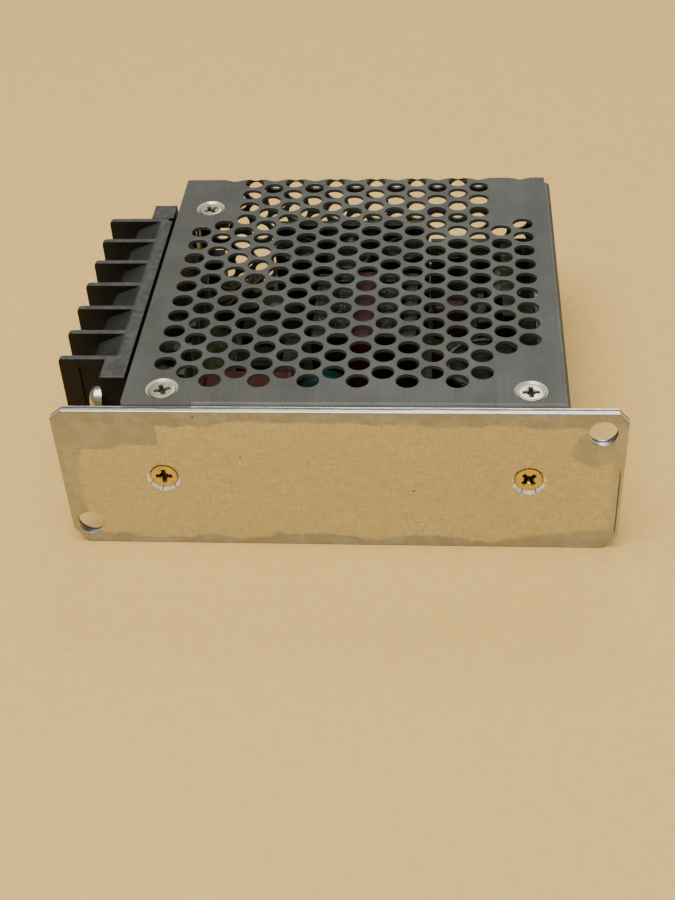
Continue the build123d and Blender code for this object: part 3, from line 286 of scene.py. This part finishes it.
def plate_stain(metal):
    """Dull oxide along the plate's edges, in one stepped corner and under one hole."""
    x, z = metal.axis("X"), metal.axis("Z")
    from_left = metal.math("SUBTRACT", x, PLATE_LOW.x)
    from_right = metal.math("SUBTRACT", PLATE_HIGH.x, x)
    from_top = metal.math("SUBTRACT", PLATE_HIGH.z, z)
    from_bottom = metal.math("SUBTRACT", z, PLATE_LOW.z)
    drift = metal.noise(11 * MM, detail=2, seed=1)
    fringe = metal.noise(2.2 * MM, detail=5, seed=12, rough=0.65)
    ragged = metal.math("MULTIPLY_ADD", fringe, 2.2 * MM, metal.math("MULTIPLY", drift, 4.2 * MM))
    ragged = metal.math("SUBTRACT", ragged, 3.2 * MM)

    def band(gap, width, softness=0.35 * MM):
        """Stain within about a width of an edge, ragged."""
        shifted = metal.math("ADD", gap, ragged)
        return metal.step(shifted, width + softness, width - softness)

    stain = metal.highest(
        band(from_top, STAIN_TOP), band(from_bottom, STAIN_BOTTOM),
        metal.product(band(from_left, STAIN_LEFT, 0.9 * MM), 0.75),
        metal.product(band(from_right, STAIN_RIGHT, 0.8 * MM), 0.6),
    )
    wobble = metal.math("MULTIPLY_ADD", fringe, 0.5 * MM, -0.25 * MM)
    near_left = metal.math("ADD", from_left, wobble)
    near_top = metal.math("ADD", from_top, wobble)
    for reach_x, reach_z in STAIN_STEPS:
        across = metal.step(near_left, reach_x + 0.25 * MM, reach_x)
        down = metal.step(near_top, reach_z + 0.25 * MM, reach_z)
        stain = metal.highest(stain, metal.product(across, down, 0.85))
    spot_in, spot_down, radius = STAIN_SPOT
    spot = metal.distance("X", PLATE_HIGH.x - spot_in, "Z", PLATE_HIGH.z - spot_down)
    around_spot = metal.math("ADD", spot, ragged)
    stain = metal.highest(stain, metal.step(around_spot, radius + 1.0 * MM, radius, 0.0, 0.8))
    slant = metal.math("MULTIPLY_ADD", from_bottom, 2.6, metal.product(from_right, 0.35))
    corner = metal.step(metal.math("ADD", slant, ragged), 14.0 * MM, 11.6 * MM)
    corner_end = metal.step(from_right, STAIN_CORNER_LENGTH, STAIN_CORNER_LENGTH - 1.5 * MM)
    return metal.highest(stain, metal.product(corner, corner_end, 0.8))


def plate_crease(metal):
    """One upright crease near the plate's right edge."""
    z = metal.axis("Z")
    from_right = metal.math("SUBTRACT", PLATE_HIGH.x, metal.axis("X"))
    wander = metal.math("MULTIPLY_ADD", metal.noise(6 * MM, seed=8), 0.5 * MM, -0.95 * MM)
    gap = metal.math("ABSOLUTE", metal.math("ADD", from_right, wander))
    return metal.product(
        metal.step(gap, 0.17 * MM, 0.07 * MM),
        metal.step(z, 3 * MM, 5 * MM), metal.step(z, 19.5 * MM, 17 * MM),
    )


def plate_seats(metal, depth):
    """The two bare countersinks, painted near white and less metallic as a painted reflection, with
    dark gaps painted into that reflection.
    """
    seat = 0.0
    reflection_gap = 0.0
    for x, middle in plate_screw_axes():
        off_axis = metal.distance("X", x, "Z", middle)
        near = metal.step(off_axis, PLATE_SEAT_RADIUS + 0.05 * MM, PLATE_SEAT_RADIUS)
        seat = metal.highest(seat, metal.product(near, metal.step(depth, 0.02 * MM, 0.06 * MM)))
        turn = metal.bearing("X", x, "Z", middle)
        wave = metal.math("SINE", metal.math("MULTIPLY_ADD", turn, 7.0, x / MM))
        reflection_gap = metal.highest(reflection_gap, metal.product(seat, metal.step(wave, 0.93, 0.99)))
    return seat, reflection_gap


def plate_metal():
    """Bare rolled aluminium, stained, pitted, creased, with sheared edges; painted shade in the
    fold and behind the edges, painted reflection in the countersinks.
    """
    metal = Recipe("plate_aluminium_look", metallic=1.0)
    depth = metal.math("SUBTRACT", metal.axis("Y"), PLATE_LOW.y)
    cloud = metal.noise(3.0 * MM, detail=6, seed=2, rough=0.68)
    stain = metal.product(plate_stain(metal), metal.step(cloud, 0.25, 0.6, 0.45, 1.0))
    roll = metal.noise(0.26 * MM, stretch=(1, 1, 8), detail=4, seed=3)
    roll_across = metal.noise(0.26 * MM, stretch=(8, 1, 1), detail=4, seed=4)
    grain = metal.math("MULTIPLY_ADD", roll, 0.5, metal.math("MULTIPLY", roll_across, 0.5))
    haze = metal.noise(8 * MM, detail=3, seed=13)
    clean = metal.mix(metal.step(grain, 0.36, 0.64), srgb(182, 180, 171), srgb(211, 209, 203))
    clean = metal.mix(metal.step(haze, 0.35, 0.65, 0.0, 0.35), clean, srgb(197, 193, 177))
    dull = metal.mix(metal.step(cloud, 0.36, 0.62), srgb(130, 139, 156), srgb(170, 177, 194))
    base = metal.mix(stain, clean, dull)
    pits = metal.step(metal.cells(4.6 * MM, seed=5), 0.06, 0.035)
    pits = metal.product(pits, metal.step(metal.noise(12 * MM, seed=6), 0.5, 0.58))
    base = metal.mix(pits, base, srgb(92, 84, 74))
    scratch_lines = metal.noise(0.12 * MM, stretch=(60, 1, 3), detail=2, seed=7)
    base = metal.tint(metal.step(scratch_lines, 0.74, 0.78), 0.3, base, srgb(238, 232, 222))
    crease = plate_crease(metal)
    # Painted shade: the crease is painted dark along its fold as well as dented.
    base = metal.tint(crease, 0.85, base, srgb(58, 54, 46))
    # Painted shade: a dark ragged band on the back of the edge faces stands for the shade of the
    # gap against the case, laid over the torn zone of the cut.
    tear = metal.noise(1.6 * MM, stretch=(2, 1, 1), seed=10)
    shear = metal.math("MULTIPLY_ADD", tear, 0.5 * MM, depth)
    torn_and_gap_shade = metal.product(
        metal.step(shear, 0.98 * MM, 1.12 * MM), metal.step(shear, 1.62 * MM, 1.48 * MM)
    )
    base = metal.tint(torn_and_gap_shade, 0.9, base, srgb(84, 80, 70))
    cut = metal.product(metal.step(depth, 0.05 * MM, 0.2 * MM), metal.inverse(torn_and_gap_shade))
    base = metal.mix(cut, base, srgb(240, 236, 224))
    seat, reflection_gap = plate_seats(metal, depth)
    # Painted reflection: the countersinks are painted near white and made less metallic, broken by
    # painted dark gaps.
    base = metal.mix(seat, base, srgb(246, 242, 230))
    base = metal.tint(reflection_gap, 0.9, base, srgb(60, 54, 44))
    metal.set("Base Color", base)
    metal.set("Metallic", metal.math("MULTIPLY_ADD", metal.highest(seat, torn_and_gap_shade), -0.6, 1.0))
    rough = metal.math("MULTIPLY_ADD", stain, 0.09, metal.step(roll_across, 0.3, 0.7, 0.27, 0.34))
    metal.set("Roughness", metal.math("MULTIPLY_ADD", seat, -0.12, rough))
    metal.raise_by(roll, 0.0022 * MM)
    metal.raise_by(roll_across, 0.0022 * MM)
    metal.raise_by(cloud, 0.004 * MM)
    metal.raise_by(metal.noise(14 * MM, detail=2, seed=9), 0.05 * MM)
    metal.sink_by(pits, 0.02 * MM)
    metal.sink_by(crease, 0.05 * MM)
    return metal.material


def screw_metal(name, tones, axes, across, face, seed, roughness=0.25):
    """Plated flat heads: stained, with painted shade in the recess and a ring of painted shade
    round each head's edge.

    tones are two main colours, a tinge and the specks. axes are the screws' axes along the two
    coordinates named by across; face is the third coordinate's name, the plane of the heads and
    the way they look.
    """
    metal = Recipe(name, metallic=1.0)
    face_axis, plane, facing = face
    cloud = metal.noise(1.3 * MM, detail=3, seed=seed, warp=0.4)
    other = metal.noise(1.0 * MM, detail=2, seed=seed + 5)
    base = metal.mix(metal.step(cloud, 0.38, 0.62), tones[0], tones[1])
    base = metal.mix(metal.step(other, 0.52, 0.68, 0.0, 0.8), base, tones[2])
    speck = metal.step(metal.noise(0.25 * MM, detail=2, seed=seed + 7), 0.68, 0.74)
    base = metal.tint(speck, 0.6, base, tones[3])
    sunk = metal.math("MULTIPLY", metal.math("SUBTRACT", plane, metal.axis(face_axis)), facing)
    off_axis = metal.nearest(axes, *across)
    # Painted shade: the recess darkens with depth, and a dark ring is painted round each head's
    # edge.
    recess_shade = metal.step(sunk, 0.16 * MM, 0.42 * MM)
    base = metal.tint(recess_shade, 0.85, base, srgb(58, 46, 24))
    edge_ring_shade = metal.step(off_axis, HEAD_RADIUS - 0.17 * MM, HEAD_RADIUS - 0.05 * MM)
    metal.set("Base Color", metal.tint(edge_ring_shade, 0.85, base, srgb(38, 32, 20)))
    worn = metal.step(cloud, 0.3, 0.7, roughness - 0.04, roughness + 0.1)
    metal.set("Roughness", metal.math("MULTIPLY_ADD", recess_shade, 0.25, worn))
    crown = metal.step(off_axis, HEAD_RADIUS - 0.15 * MM, HEAD_RADIUS - 0.55 * MM)
    metal.raise_by(crown, 0.08 * MM)
    metal.raise_by(metal.noise(0.14 * MM, detail=2, seed=seed + 1), 0.003 * MM)
    metal.raise_by(metal.noise(0.9 * MM, detail=2, seed=seed + 2), 0.012 * MM)
    return metal.material


def plain_metal(name, colour, dark, roughness, seed, spot=1.2):
    """Plated or mill-finished metal with fine marks and soft stains, spot millimetres wide."""
    metal = Recipe(name, metallic=1.0)
    cloud = metal.noise(spot * MM, detail=4, seed=seed)
    fine = metal.noise(0.12 * MM, detail=2, seed=seed + 1)
    metal.set("Base Color", metal.mix(metal.step(cloud, 0.35, 0.72), colour, dark))
    metal.set("Roughness", metal.step(cloud, 0.3, 0.7, roughness - 0.05, roughness + 0.08))
    metal.raise_by(fine, 0.0015 * MM)
    metal.raise_by(metal.noise(0.9 * MM, detail=2, seed=seed + 2), 0.006 * MM)
    return metal.material


def block_plastic():
    """Black moulded plastic, satin, with handling marks, a little dust and painted light on its
    upward faces.
    """
    plastic = Recipe("block_plastic_look")
    cloud = plastic.noise(6 * MM, detail=4, seed=1)
    base = plastic.mix(plastic.step(cloud, 0.3, 0.7), srgb(11, 12, 14), srgb(19, 20, 23))
    under_top = plastic.math("SUBTRACT", BLOCK_TOP, plastic.axis("Z"))
    worn = plastic.product(
        plastic.step(under_top, 0.3 * MM, 0.02 * MM),
        plastic.step(plastic.noise(1.4 * MM, detail=3, seed=6), 0.3, 0.7, 0.35, 0.8),
    )
    # Painted light: faces turned upward are painted lighter, as lit from above.
    lit_from_above = plastic.product(
        plastic.step(plastic.upward(), 0.3, 0.9), plastic.step(cloud, 0.3, 0.7, 0.5, 0.9)
    )
    base = plastic.mix(lit_from_above, base, srgb(46, 47, 48))
    base = plastic.mix(worn, base, srgb(88, 88, 87))
    dust = plastic.step(plastic.noise(0.35 * MM, detail=3, seed=2), 0.64, 0.76)
    base = plastic.tint(dust, 0.10, base, srgb(140, 136, 126))
    rubs = plastic.step(plastic.noise(0.2 * MM, stretch=(1, 14, 3), detail=2, seed=3), 0.68, 0.76)
    base = plastic.tint(rubs, 0.18, base, srgb(84, 84, 80))
    plastic.set("Base Color", base)
    plastic.set("Specular IOR Level", 0.25)
    plastic.set("Roughness", plastic.step(cloud, 0.3, 0.7, 0.44, 0.58))
    plastic.raise_by(plastic.noise(0.09 * MM, detail=1, seed=4), 0.003 * MM)
    plastic.raise_by(plastic.noise(2.5 * MM, detail=2, seed=5), 0.03 * MM)
    return plastic.material


def moulded(name, colour, lighter, roughness, seed, lumps=0.02):
    """Plastic, lacquer or ceramic with gentle mottling, grey specks that are painted glints on dark
    parts, a fine skin and lumps millimetres deep.
    """
    skin = Recipe(name)
    cloud = skin.noise(2.0 * MM, detail=4, seed=seed)
    speck = skin.step(skin.noise(0.3 * MM, detail=2, seed=seed + 1), 0.66, 0.74)
    base = skin.mix(skin.step(cloud, 0.3, 0.7), colour, lighter)
    # Painted glints: on dark parts these grey specks stand for small highlights.
    base = skin.tint(speck, 0.2, base, srgb(130, 126, 118))
    skin.set("Base Color", base)
    skin.set("Specular IOR Level", 0.3)
    skin.set("Roughness", skin.step(cloud, 0.3, 0.7, roughness - 0.05, roughness + 0.07))
    skin.raise_by(skin.noise(0.12 * MM, detail=2, seed=seed + 2), 0.004 * MM)
    skin.raise_by(skin.noise(1.1 * MM, detail=2, seed=seed + 3), lumps * MM)
    return skin.material


def choke_wire():
    """Close turns of lacquered wire, their ridges square to the choke's axis, with painted shade
    between the turns and painted highlight on their crests.
    """
    coil = Recipe("line_choke_wire_look", metallic=0.75)
    turns = coil.math("MULTIPLY", coil.axis("X"), 2 * math.pi / WIRE_PITCH)
    wave = coil.math("SINE", turns)
    # Painted shade and highlight: darker in the grooves between turns, lighter on their crests.
    coil.set("Base Color", coil.mix(coil.step(wave, -0.9, 0.6), srgb(15, 13, 8), srgb(38, 33, 18)))
    coil.set("Roughness", coil.step(coil.noise(0.8 * MM, seed=2), 0.3, 0.7, 0.28, 0.42))
    coil.raise_by(wave, 0.05 * MM)
    return coil.material


def board_laminate(name="board_laminate_look"):
    """Olive green board: solder resist over copper areas, pads and drilled specks."""
    board = Recipe(name)
    copper = board.step(board.noise(5 * MM, detail=2, seed=1, warp=0.5), 0.50, 0.505)
    resist = board.mix(copper, srgb(50, 55, 31), srgb(68, 73, 42))
    pads = board.step(board.cells(3.2 * MM, seed=2), 0.20, 0.17)
    board.set("Base Color", board.mix(pads, resist, srgb(182, 178, 168)))
    board.set("Metallic", board.math("MULTIPLY", pads, 0.9))
    board.set("Roughness", board.math("MULTIPLY_ADD", pads, -0.1, 0.36))
    board.raise_by(copper, 0.02 * MM)
    board.raise_by(pads, 0.2 * MM)
    return board.material


def glass_tube():
    """Clear glass with faint drawing lines."""
    glass = Recipe("fuse_glass_look", roughness=0.04, colour=srgb(236, 242, 238))
    glass.set("Transmission Weight", 1.0)
    glass.set("IOR", 1.5)
    glass.raise_by(glass.noise(0.4 * MM, stretch=(30, 1, 1), seed=1), 0.004 * MM)
    return glass.material


def power_package(node):
    """Black moulded body on a tinned tab and leads, told apart by place."""
    low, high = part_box(node)
    stands_along_y = high.y - low.y > high.x - low.x
    package = Recipe(node + "_look")
    depth = package.axis("X" if stands_along_y else "Y")
    front = low.x if stands_along_y else low.y
    tab_front = front + PACKAGE_BODY_DEPTH
    tab = package.step(depth, tab_front - 0.05 * MM, tab_front + 0.05 * MM)
    lead_top = low.z + PACKAGE_LEAD_LENGTH
    lead = package.step(package.axis("Z"), lead_top + 0.05 * MM, lead_top - 0.05 * MM)
    bare = package.math("MAXIMUM", tab, lead)
    cloud = package.noise(0.8 * MM, seed=1)
    moulding = package.mix(cloud, srgb(26, 26, 27), srgb(38, 38, 39))
    package.set("Base Color", package.mix(bare, moulding, srgb(62, 61, 55)))
    package.set("Metallic", bare)
    package.set("Roughness", package.step(cloud, 0.3, 0.7, 0.36, 0.5))
    package.raise_by(package.noise(0.1 * MM, seed=2), 0.004 * MM)
    return package.material


def chip(node):
    """Moulded circuit with tinned legs along its long sides."""
    low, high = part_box(node)
    middle = (low.y + high.y) / 2
    case = Recipe(node + "_look")
    off_centre = case.math("ABSOLUTE", case.math("SUBTRACT", case.axis("Y"), middle))
    legs = case.step(off_centre, CHIP_HALF_DEPTH - 0.02 * MM, CHIP_HALF_DEPTH + 0.02 * MM)
    cloud = case.noise(0.7 * MM, seed=3)
    moulding = case.mix(cloud, srgb(28, 28, 29), srgb(40, 40, 41))
    case.set("Base Color", case.mix(legs, moulding, srgb(200, 197, 190)))
    case.set("Metallic", legs)
    case.set("Roughness", case.step(cloud, 0.3, 0.7, 0.38, 0.5))
    case.raise_by(case.noise(0.08 * MM, seed=4), 0.004 * MM)
    return case.material


def leaded(node, name, colour, lighter, seed, lead_top, roughness=0.4, far_colour=None):
    """Dipped body on bare tinned leads, which end lead_top millimetres over the node's foot.

    far_colour, where given, is the coat of the bodies in the further half along Y.
    """
    low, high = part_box(node)
    coat = Recipe(name)
    body_foot = low.z + lead_top * MM
    bare = coat.step(coat.axis("Z"), body_foot + 0.1 * MM, body_foot)
    cloud = coat.noise(1.6 * MM, detail=3, seed=seed)
    body = coat.mix(cloud, colour, lighter)
    if far_colour:
        middle = (low.y + high.y) / 2
        far = coat.step(coat.axis("Y"), middle - 0.1 * MM, middle + 0.1 * MM)
        body = coat.mix(far, body, coat.mix(cloud, far_colour, srgb(44, 46, 26)))
    coat.set("Base Color", coat.mix(bare, body, srgb(198, 194, 186)))
    coat.set("Specular IOR Level", 0.35)
    coat.set("Metallic", bare)
    coat.set("Roughness", coat.step(cloud, 0.3, 0.7, roughness - 0.06, roughness + 0.08))
    coat.raise_by(coat.noise(0.7 * MM, detail=2, seed=2), 0.03 * MM)
    return coat.material


def banded_resistors():
    """Lacquered bodies with colour rings between bare wires."""
    coat = Recipe("resistor_look")
    body_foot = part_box("resistors")[0].z + RESISTOR_BODY_FOOT
    bare = coat.step(coat.axis("Z"), body_foot + 0.04 * MM, body_foot - 0.04 * MM)
    ring = coat.math("SINE", coat.math("MULTIPLY", coat.axis("Y"), 2 * math.pi / (1.3 * MM)))
    hue = coat.mix(coat.noise(1.3 * MM, seed=1), srgb(120, 40, 24), srgb(40, 44, 90))
    body = coat.mix(coat.step(ring, 0.55, 0.7), srgb(176, 150, 108), hue)
    coat.set("Base Color", coat.mix(bare, body, srgb(198, 194, 186)))
    coat.set("Metallic", bare)
    coat.set("Roughness", coat.step(coat.noise(0.6 * MM, seed=2), 0.3, 0.7, 0.22, 0.34))
    coat.raise_by(coat.noise(0.5 * MM, seed=3), 0.01 * MM)
    return coat.material


def lamp_lens():
    """Diffused green lens."""
    lens = Recipe("lamp_lens_look", roughness=0.22)
    cloud = lens.noise(0.8 * MM, seed=1)
    lens.set("Base Color", lens.mix(cloud, srgb(60, 150, 66), srgb(84, 176, 88)))
    lens.set("Transmission Weight", 0.35)
    lens.raise_by(lens.noise(0.2 * MM, seed=2), 0.003 * MM)
    return lens.material


NICKEL = plain_metal("nickel_look", srgb(206, 200, 184), srgb(170, 163, 146), 0.26, seed=11)
NICKEL_TONES = (srgb(226, 222, 204), srgb(204, 199, 178), srgb(214, 208, 186), srgb(110, 102, 80))
GOLD_TONES = (srgb(222, 206, 120), srgb(196, 188, 106), srgb(220, 178, 138), srgb(120, 104, 56))
TINNED = plain_metal("tinned_look", srgb(205, 202, 194), srgb(176, 172, 162), 0.3, seed=31)
MILL = plain_metal(
    "mill_aluminium_look", srgb(174, 175, 172), srgb(158, 159, 156), 0.4, seed=41, spot=6
)
SINK = plain_metal("sink_look", srgb(74, 76, 60), srgb(58, 60, 46), 0.5, seed=45, spot=4)
CAN = plain_metal("can_aluminium_look", srgb(46, 46, 44), srgb(36, 36, 34), 0.62, seed=51, spot=2)
DARK_ZINC = plain_metal("dark_zinc_look", srgb(64, 62, 54), srgb(44, 42, 36), 0.4, seed=53)
FERRITE = moulded("ferrite_look", srgb(12, 13, 11), srgb(24, 25, 20), 0.3, seed=61, lumps=0.2)
SLEEVE = moulded("sleeve_look", srgb(12, 14, 12), srgb(22, 25, 20), 0.3, seed=71, lumps=0.12)

MATERIALS = {
    "cover": cover_paint(),
    "mounting_plate": plate_metal(),
    "chassis": MILL,
    "plate_screws": screw_metal(
        "yellow_zinc_look", GOLD_TONES, plate_screw_axes(), ("X", "Z"),
        ("Y", PLATE_HEADS_FRONT, -1.0), seed=21,
    ),
    "cover_screws": screw_metal(
        "cover_screw_look", NICKEL_TONES, cover_screw_axes(), ("X", "Y"),
        ("Z", COVER_HEADS_TOP, 1.0), seed=31, roughness=0.3,
    ),
    "block_screws": NICKEL,
    "block_washers": NICKEL,
    "board_screws": NICKEL,
    "package_screws": DARK_ZINC,
    "fuse_end_caps": NICKEL,
    "terminal_block_housing": block_plastic(),
    "terminal_contacts": TINNED,
    "fuse_clips": TINNED,
    "board_standoffs": TINNED,
    "circuit_board": board_laminate(),
    "insulating_sheet": moulded(
        "film_look", srgb(206, 206, 196), srgb(220, 220, 210), 0.3, seed=81
    ),
    "fuse_tube": glass_tube(),
    "varistor": leaded(
        "varistor", "varistor_look", srgb(14, 26, 50), srgb(20, 34, 62), seed=13, lead_top=3.0
    ),
    "mains_film_capacitor": leaded(
        "mains_film_capacitor", "red_film_look", srgb(60, 15, 11), srgb(78, 24, 16),
        seed=13, lead_top=0.55,
    ),
    "line_choke_core": FERRITE,
    "line_choke_windings": choke_wire(),
    "safety_disc_capacitors": leaded(
        "safety_disc_capacitors", "teal_disc_look", srgb(9, 48, 46), srgb(14, 62, 58),
        seed=14, lead_top=4.2, far_colour=srgb(32, 34, 20),
    ),
    "inrush_thermistor": leaded(
        "inrush_thermistor", "thermistor_look", srgb(20, 24, 19), srgb(30, 35, 27),
        seed=15, lead_top=3.9, roughness=0.5,
    ),
    "bridge_rectifier": leaded(
        "bridge_rectifier", "bridge_look", srgb(28, 28, 29), srgb(40, 40, 41),
        seed=11, lead_top=4.0, roughness=0.42,
    ),
    "bulk_capacitor_can": CAN,
    "output_capacitor_cans": CAN,
    "bulk_capacitor_sleeve": SLEEVE,
    "output_capacitor_sleeves": SLEEVE,
    "transformer_core": FERRITE,
    "transformer_bobbin": moulded("bobbin_look", srgb(15, 15, 15), srgb(24, 24, 23), 0.45, seed=91),
    "transformer_winding": moulded(
        "coil_tape_look", srgb(14, 14, 10), srgb(30, 30, 20), 0.24, seed=95, lumps=0.35
    ),
    "transformer_tape_band": moulded(
        "band_tape_look", srgb(52, 9, 10), srgb(64, 14, 12), 0.5, seed=97, lumps=0.1
    ),
    "primary_heat_sink": SINK,
    "output_heat_sink": SINK,
    "switching_transistor": power_package("switching_transistor"),
    "output_rectifier": power_package("output_rectifier"),
    "output_choke_core": FERRITE,
    "output_choke_winding": moulded(
        "choke_wire_look", srgb(40, 32, 16), srgb(56, 46, 24), 0.35, seed=99
    ),
    "control_circuit": chip("control_circuit"),
    "optocoupler": chip("optocoupler"),
    "control_board": board_laminate("control_board_look"),
    "control_board_chips": moulded("chip_look", srgb(20, 20, 20), srgb(32, 32, 31), 0.4, seed=111),
    "small_film_capacitors": leaded(
        "small_film_capacitors", "brown_film_look", srgb(44, 26, 14), srgb(60, 34, 18),
        seed=15, lead_top=0.55,
    ),
    "resistors": banded_resistors(),
    "status_led": lamp_lens(),
    "trimmer_body": moulded("trimmer_look", srgb(16, 26, 44), srgb(22, 34, 54), 0.32, seed=101),
    "trimmer_rotor": moulded("rotor_look", srgb(212, 208, 194), srgb(226, 222, 210), 0.4, seed=103),
}
for number in range(1, TERMINALS + 1):
    MATERIALS[f"terminal_screw_{number}"] = NICKEL
    MATERIALS[f"terminal_washer_{number}"] = NICKEL

for node_name, node_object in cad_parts.items():
    for material_slot in node_object.material_slots:
        material_slot.material = MATERIALS[node_name]


# Floor, light and camera -------------------------------------------------------------------


def make_floor():
    """Plain pale surface under the unit."""
    reach = 4.0
    mesh = bpy.data.meshes.new("floor")
    corners = [(-reach, -reach, 0), (reach, -reach, 0), (reach, reach, 0), (-reach, reach, 0)]
    mesh.from_pydata(corners, [], [(0, 1, 2, 3)])
    floor = bpy.data.objects.new("floor", mesh)
    bpy.context.scene.collection.objects.link(floor)
    paper = Recipe("floor_look", roughness=0.85)
    grain = paper.noise(2.2 * MM, detail=6, seed=1, rough=0.7)
    paper.set("Base Color", paper.mix(grain, srgb(228, 182, 100), srgb(248, 212, 132)))
    paper.raise_by(grain, 0.06 * MM)
    mesh.materials.append(paper.material)


def make_area_light(name, place, size, power, colour):
    """One rectangular lamp that shines at the origin."""
    light = bpy.data.lights.new(name, "AREA")
    light.shape = "RECTANGLE"
    light.size, light.size_y = size
    light.energy = power
    light.color = colour
    lamp = bpy.data.objects.new(name, light)
    lamp.location = place
    lamp.rotation_euler = (-Vector(place)).to_track_quat("-Z", "Y").to_euler()
    bpy.context.scene.collection.objects.link(lamp)


def make_lights():
    """A broad soft ceiling a little in front, a weaker lamp behind, and a pale world."""
    make_area_light("ceiling", (-0.12, -0.22, 0.85), (0.7, 0.6), 9.0, (1.0, 0.97, 0.90))
    make_area_light("back", (0.15, 0.75, 0.75), (0.6, 0.4), 2.4, (1.0, 0.98, 0.94))
    world = bpy.data.worlds.new("room")
    world.use_nodes = True
    background = world.node_tree.nodes["Background"]
    background.inputs["Color"].default_value = srgb(214, 208, 192)
    background.inputs["Strength"].default_value = 0.5
    bpy.context.scene.world = world


CAMERA_PLACE = (20.9 * MM, -222.5 * MM, 175.3 * MM)
CAMERA_TILT = 50.15
CAMERA_ROLL = 2.68
CAMERA_TURN = 3.93
CAMERA_LENS = 55.1


def make_camera():
    """Stands in front and above, a little to the right of the middle, as the photographer did."""
    camera = bpy.data.cameras.new("camera")
    camera.lens = CAMERA_LENS
    camera.clip_start = 0.01
    stand = bpy.data.objects.new("camera", camera)
    stand.location = CAMERA_PLACE
    stand.rotation_euler = [math.radians(a) for a in (CAMERA_TILT, CAMERA_ROLL, CAMERA_TURN)]
    bpy.context.scene.collection.objects.link(stand)
    bpy.context.scene.camera = stand


make_floor()
make_lights()
make_camera()
